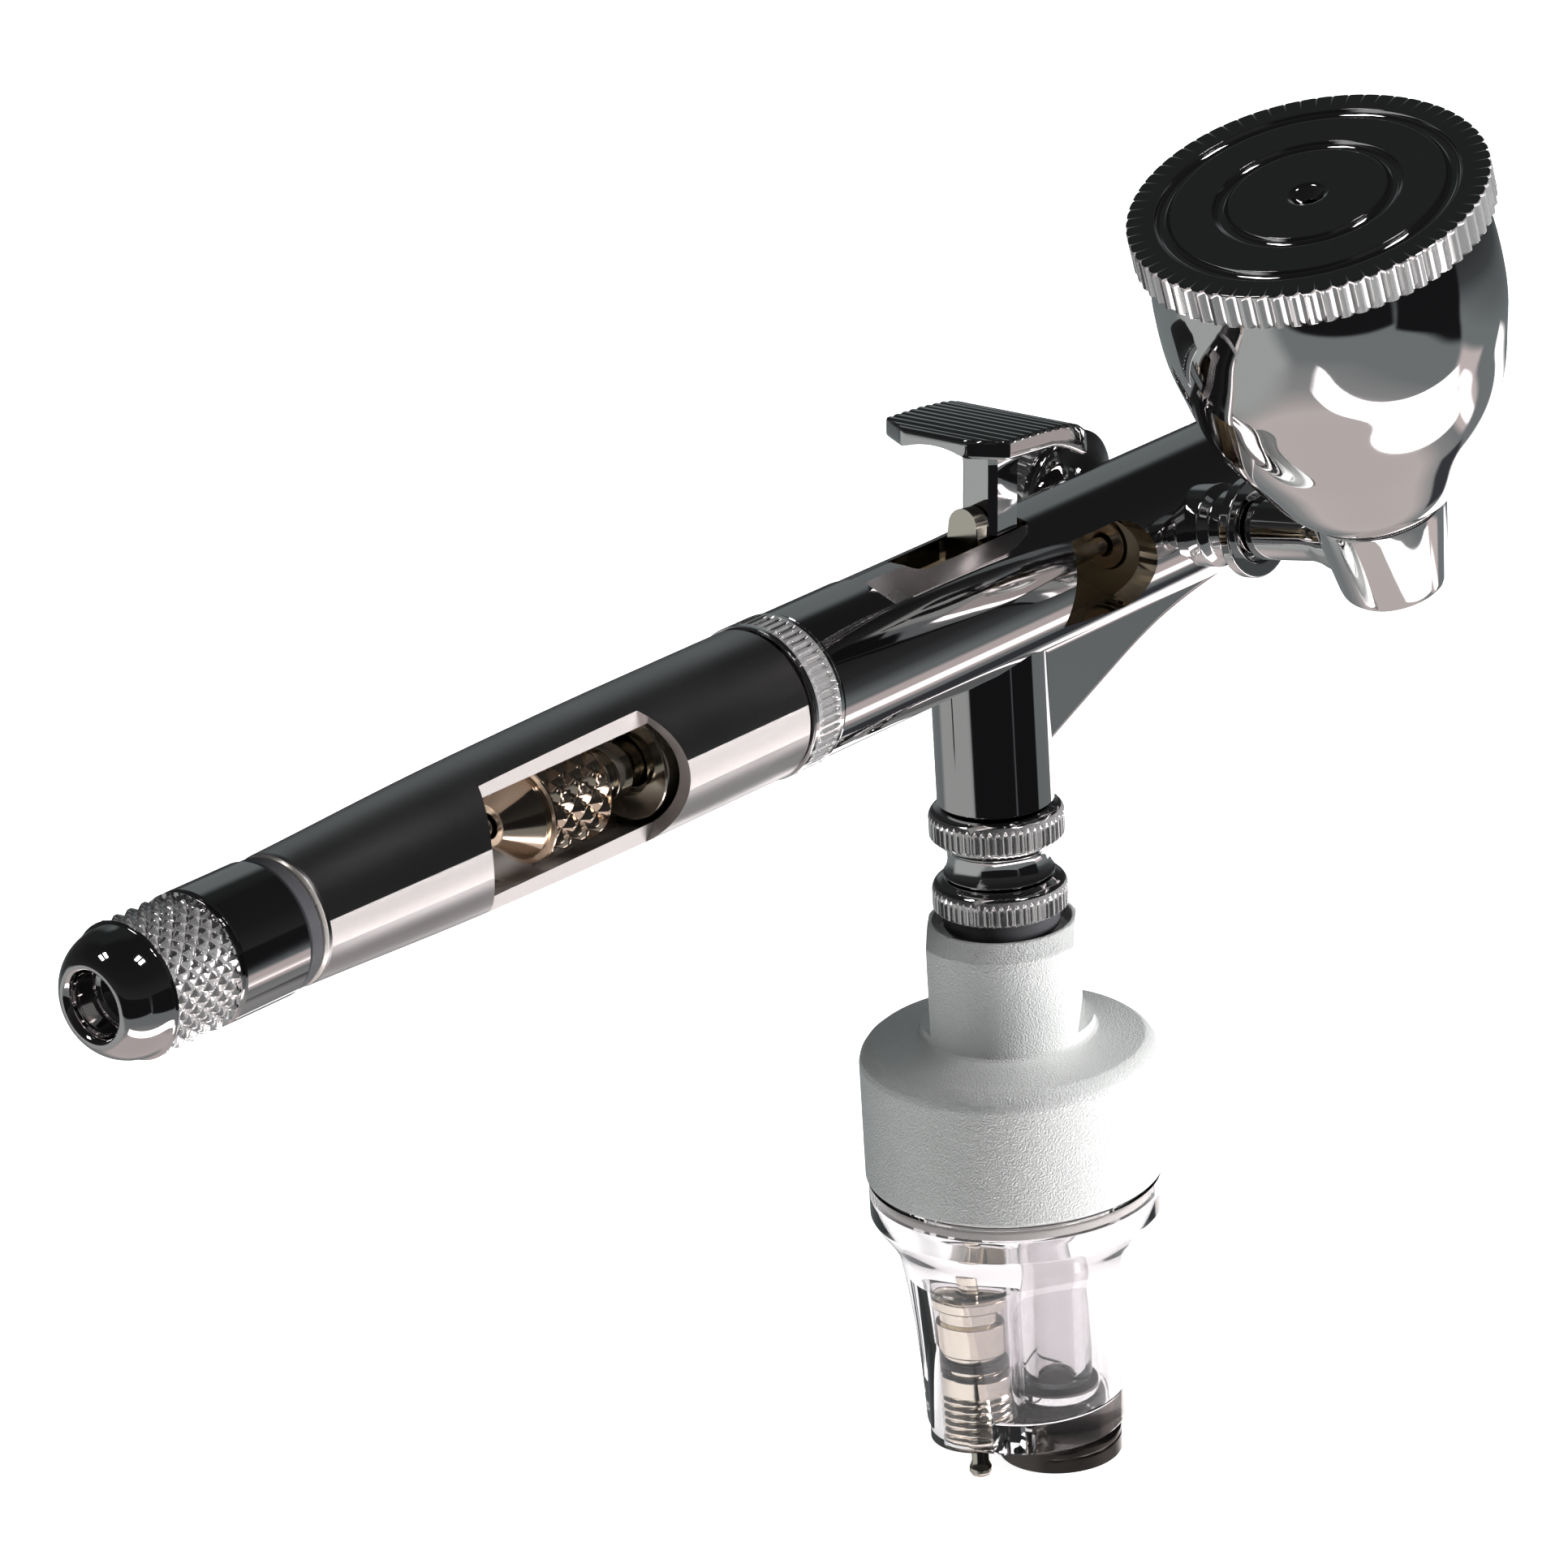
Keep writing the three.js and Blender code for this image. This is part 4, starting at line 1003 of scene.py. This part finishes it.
BOWL_SHELL = through([(-70.6, 8.23), (-67, 8.4), (-64, 8.6), (-60, 9.05), (-56.5, 9.6), (-55.2, 9.92),
                      (-54.2, 10.45), (-53.3, 11.1), (-52.3, 11.75)], 40)
BOWL_INSIDE = through([(-68.2, 6.95), (-64, 7.3), (-60, 7.7), (-54, 8.6), (-50.9, 9.6)], 30)


def filter_bowl():
    """The clear bowl, with a sleeve inside it around the drain valve."""
    outside = lathe("bowl", [(-70.9, 0), (-70.9, 7.9), (-70.82, 8.1)] + BOWL_SHELL
                    + [(-52.0, 11.9), (-49.15, 11.9), (-49, 11.75), (-49, 0)], UPRIGHT, 160, corner=0)
    sleeve = rod("sleeve", -71.1, -57.2, 3.93, DRAIN, 72)
    hollow = lathe("hollow", [(-68.6, 0), (-68.6, 6.5), (-68.5, 6.8)] + BOWL_INSIDE
                   + [(-50.6, 9.8), (-48, 9.8), (-48, 0)], UPRIGHT, 144, corner=0)
    sleeve_kept = rod("sleeve_kept", -68.7, -57.2, 3.93, DRAIN, 72)
    hollow = cut(hollow, sleeve_kept)
    rim_groove = [(-50.3, 10.7), (-50.3, 11.5), (-48, 11.5), (-48, 10.7), (-50.3, 10.7)]
    rim_groove = lathe("rim_groove", rim_groove, UPRIGHT, 128, corner=0)
    drain_bore = rod("drain_bore", -73, -56, 2.9, DRAIN, 64)
    inlet_bore = rod("inlet_bore", -72, -67, 3.9, INLET, 72)
    whole = cut(join(outside, sleeve), hollow, rim_groove, drain_bore, inlet_bore)
    surfaces = [turned_surface(BOWL_SHELL), turned_surface(BOWL_INSIDE),
                round_surface(-52, -49.1, 11.9),
                round_surface(-71.1, -57.2, 3.93, DRAIN),
                round_surface(-73, -56, 2.9, DRAIN),
                round_surface(-72, -67, 3.9, INLET)]
    return finished(whole, "filter_bowl", surfaces=surfaces)


filter_housing()
turned_piece(
    "filter_element",
    [(-47, 2.6), (-47, 6.1), (-46.7, 6.4), (-39.9, 6.4), (-39.6, 6.1), (-39.6, 2.6), (-47, 2.6)],
    UPRIGHT, 96)
turned_piece(
    "filter_baffle",
    [(-48.1, 1.2), (-48.1, 8.6), (-47.2, 8.6), (-47.2, 2.3), (-35.5, 2.3), (-35.5, 1.2), (-48.1, 1.2)],
    UPRIGHT, 96)
turned_piece(
    "housing_o_ring",
    [(-50.2, 10.85), (-50.2, 11.35), (-49.55, 11.35), (-49.55, 10.85), (-50.2, 10.85)],
    UPRIGHT, 128, corner=0.25)
filter_bowl()
turned_piece(
    "inlet_tube",
    [(-68.2, 1.6), (-68.2, 3.1), (-66, 3.1), (-53.5, 2.4), (-53.5, 1.6), (-68.2, 1.6)],
    INLET, 72, corner=0.12)
turned_piece(
    "air_inlet_nipple",
    [(-75.3, 2.6), (-75.3, 4.5), (-75.1, 4.75)] + rows(-75.0, -71.5, 5.1, 36)
    + [(-71.35, 5.1), (-71.2, 4.9), (-71.2, 3.7), (-68.5, 3.7), (-68.5, 1.8), (-72, 1.8),
       (-72, 2.6), (-75.3, 2.6)],
    INLET, 96, thread(0.907, 5.1, 0.42, -73.9, -71.3), corner=0.06)
turned_piece(
    "drain_valve_body",
    [(-71, 1.1), (-71, 2.7), (-70.85, 2.85)] + rows(-70.8, -66.2, 2.85, 46)
    + [(-65.1, 2.85), (-64.9, 2.7), (-64.9, 2.2), (-63.1, 2.2), (-63.1, 2.45), (-62.95, 2.6),
       (-60.3, 2.6), (-60.1, 2.1), (-59, 2.1), (-58.9, 2.7), (-58.75, 2.85), (-57.95, 2.85),
       (-57.8, 2.7), (-57.8, 1.1), (-60.5, 1.1), (-60.5, 1.7), (-68.2, 1.7), (-68.2, 1.1), (-71, 1.1)],
    DRAIN, 64, thread(0.7, 2.85, 0.25, -70.8, -66.2), corner=0.06)
turned_piece(
    "drain_o_ring",
    [(-64.25, 2.25), (-64.25, 2.85), (-63.65, 2.85), (-63.65, 2.25), (-64.25, 2.25)],
    DRAIN, 64, corner=0.25)
turned_piece(
    "drain_pin",
    [(-75, 0), (-75, 0.45), (-74.85, 0.75), (-74.55, 0.93), (-74.2, 0.93), (-73.9, 0.8), (-73.6, 0.7),
     (-67.9, 0.7), (-67.9, 1.4), (-66.9, 1.4), (-66.9, 0.8), (-54.7, 0.8), (-54.6, 0.7), (-54.6, 0)],
    DRAIN, 48, corner=0.05)


# ---------------- springs

def spring(node, place, fixed, free, radius, wire, turns):
    """A coil between fixed and free, given a mesh of its own."""
    made = finished(coil(node, min(fixed, free), max(fixed, free), radius, wire, turns, place), node)
    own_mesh(made)


spring("needle_spring", ALONG, -38.9, -15.5, 2.3, 0.3, 8)
spring("valve_spring", UPRIGHT, -15.8, -12.6, 1.8, 0.2, 3)
spring("drain_spring", DRAIN, -60.8, -66.6, 1.2, 0.2, 4)


# ---------------- studio

CAMERA_AZIMUTH = math.radians(-48.34)
CAMERA_HEIGHT = math.radians(20.65)
CAMERA_ROLL = math.radians(-3.64)
CAMERA_LENS = 157.2
CAMERA_FROM_CROSSING = Vector((-0.3905, -0.3251, 0.1769))


def make_camera():
    data = bpy.data.cameras.new("camera")
    data.lens = CAMERA_LENS
    data.sensor_width = 36.0
    data.clip_start = 0.02
    camera = bpy.data.objects.new("camera", data)
    bpy.context.scene.collection.objects.link(camera)
    back = Vector((
        math.sin(CAMERA_AZIMUTH) * math.cos(CAMERA_HEIGHT),
        -math.cos(CAMERA_AZIMUTH) * math.cos(CAMERA_HEIGHT),
        math.sin(CAMERA_HEIGHT),
    ))
    turn = back.to_track_quat("Z", "Y").to_matrix().to_4x4() @ Matrix.Rotation(CAMERA_ROLL, 4, "Z")
    camera.matrix_world = Matrix.Translation(CROSSING + CAMERA_FROM_CROSSING) @ turn
    bpy.context.scene.camera = camera


make_camera()


def direction(azimuth, elevation):
    a, e = math.radians(azimuth), math.radians(elevation)
    return Vector((math.cos(a) * math.cos(e), math.sin(a) * math.cos(e), math.sin(e)))


def make_world():
    """A dark ceiling, grey walls, a pale floor, and soft white panels for the metal to reflect."""
    world = bpy.data.worlds.new("studio")
    bpy.context.scene.world = world
    world.use_nodes = True
    tree = world.node_tree
    background = tree.nodes["Background"]
    ray = add(tree, "ShaderNodeTexCoord").outputs["Generated"]

    def dot(vector):
        node = add(tree, "ShaderNodeVectorMath", {0: ray, 1: vector}, operation="DOT_PRODUCT")
        return node.outputs["Value"]

    def math_node(operation, first, second=0.0):
        return add(tree, "ShaderNodeMath", {0: first, 1: second}, operation=operation).outputs[0]

    height = dot((0, 0, 1))
    ramp = add(tree, "ShaderNodeValToRGB", {"Fac": spread(tree, height, 0, 1, -1, 1)})
    stops = [
        (0.0, (0.58, 0.52, 0.51)), (0.07, (0.60, 0.54, 0.53)), (0.12, (0.30, 0.30, 0.30)),
        (0.18, (0.20, 0.215, 0.22)), (0.33, (0.19, 0.21, 0.215)), (0.42, (0.06, 0.065, 0.068)),
        (0.52, (0.030, 0.031, 0.032)), (0.75, (0.016, 0.016, 0.017)), (1.0, (0.012, 0.012, 0.013)),
    ]
    elements = ramp.color_ramp.elements
    while len(elements) < len(stops):
        elements.new(0.5)
    for element, (place, colour) in zip(elements, stops):
        element.position = place
        element.color = (*colour, 1)
    light = ramp.outputs["Color"]

    def panel(azimuth, elevation, half_width, half_height, colour, softness, tilt=0.0):
        """Blends a soft-edged rectangle over what is there; its sizes are tangents of half angles."""
        nonlocal light
        axis = direction(azimuth, elevation)
        level = Vector((0, 0, 1)).cross(axis).normalized()
        across = Matrix.Rotation(math.radians(tilt), 3, axis) @ level
        up = axis.cross(across)
        ahead = dot(axis)
        masks = [math_node("GREATER_THAN", ahead, 0.01)]
        for side, half in ((across, half_width), (up, half_height)):
            tangent = math_node("DIVIDE", dot(side), math_node("MAXIMUM", ahead, 0.01))
            span = {"From Min": half * (1 - softness), "From Max": half, "To Min": 1.0, "To Max": 0.0}
            edge = {"Value": math_node("ABSOLUTE", tangent), **span}
            fade = add(tree, "ShaderNodeMapRange", edge, interpolation_type="SMOOTHSTEP")
            masks.append(fade.outputs["Result"])
        mask = math_node("MULTIPLY", math_node("MULTIPLY", masks[0], masks[1]), masks[2])
        mix = add(tree, "ShaderNodeMix", {"Factor": mask}, data_type="RGBA")
        tree.links.new(light, mix.inputs["A"])
        mix.inputs["B"].default_value = (*colour, 1)
        light = mix.outputs["Result"]

    # Walls: dark above, grey beyond and low on the far side, and black around the camera's side.
    panel(54, 42, 0.6, 0.6, (0.022, 0.024, 0.024), 0.5)
    panel(42, 20, 0.36, 0.42, (0.17, 0.19, 0.195), 0.5)
    panel(140, -28, 0.9, 0.6, (0.42, 0.44, 0.43), 0.4)
    panel(-140, -12, 0.90, 0.30, (0.010, 0.010, 0.011), 0.15)
    panel(-72, -10, 0.48, 0.31, (0.010, 0.010, 0.011), 0.15)
    # Low down: pale cloth, three softboxes and one dark gap.
    panel(-34, -33, 0.24, 0.17, (0.66, 0.58, 0.57), 0.4)
    panel(-29, -35, 0.15, 0.055, (2.6, 2.5, 2.5), 0.6)
    panel(-90, -58, 0.90, 0.13, (3.4, 3.25, 3.25), 0.2, 14)
    panel(-6, -45, 0.13, 0.10, (0.045, 0.048, 0.055), 0.4)
    panel(16, -31, 0.30, 0.22, (3.0, 2.85, 2.85), 0.25)
    # Two pairs of narrow lamps overhead, for the lid's round grooves.
    for azimuth, elevation in ((141, 52), (141, 60), (-79, 58), (-79, 66)):
        panel(azimuth, elevation, 0.11, 0.045, (9.0, 9.0, 9.0), 0.15)
    tree.links.new(light, background.inputs["Color"])
    background.inputs["Strength"].default_value = 1.0


def make_floor():
    """A bright floor just under the object, which the metal doesn't reflect."""
    bpy.ops.mesh.primitive_circle_add(vertices=96, radius=3.0, fill_type="NGON",
                                      location=(0, 0, -0.0004))
    floor = bpy.context.active_object
    floor.name = "floor"
    material, tree, shader = node_tree("floor")
    shader.inputs["Base Color"].default_value = (0.7, 0.7, 0.7, 1)
    shader.inputs["Roughness"].default_value = 0.8
    shader.inputs["Specular IOR Level"].default_value = 0.0
    shader.inputs["Emission Color"].default_value = (1, 1, 1, 1)
    shader.inputs["Emission Strength"].default_value = 0.9
    floor.data.materials.append(material)
    floor.visible_glossy = False


def area_light(name, place, aim, size, power):
    """A round lamp that mirror-like surfaces don't reflect."""
    data = bpy.data.lights.new(name, "AREA")
    data.shape = "DISK"
    data.size = size
    data.energy = power
    light = bpy.data.objects.new(name, data)
    bpy.context.scene.collection.objects.link(light)
    turn = (Vector(place) - Vector(aim)).to_track_quat("Z", "Y").to_matrix().to_4x4()
    light.matrix_world = Matrix.Translation(Vector(place)) @ turn
    light.visible_glossy = False
    light.visible_camera = False


make_world()
make_floor()
area_light("overhead", (0.2, 0.2, 1.6), (0, 0, 0), 2.4, 6)
area_light("side", (0.55, -0.8, 0.08), (0, 0, 0.04), 0.5, 105)

bpy.context.scene.view_settings.view_transform = "Standard"
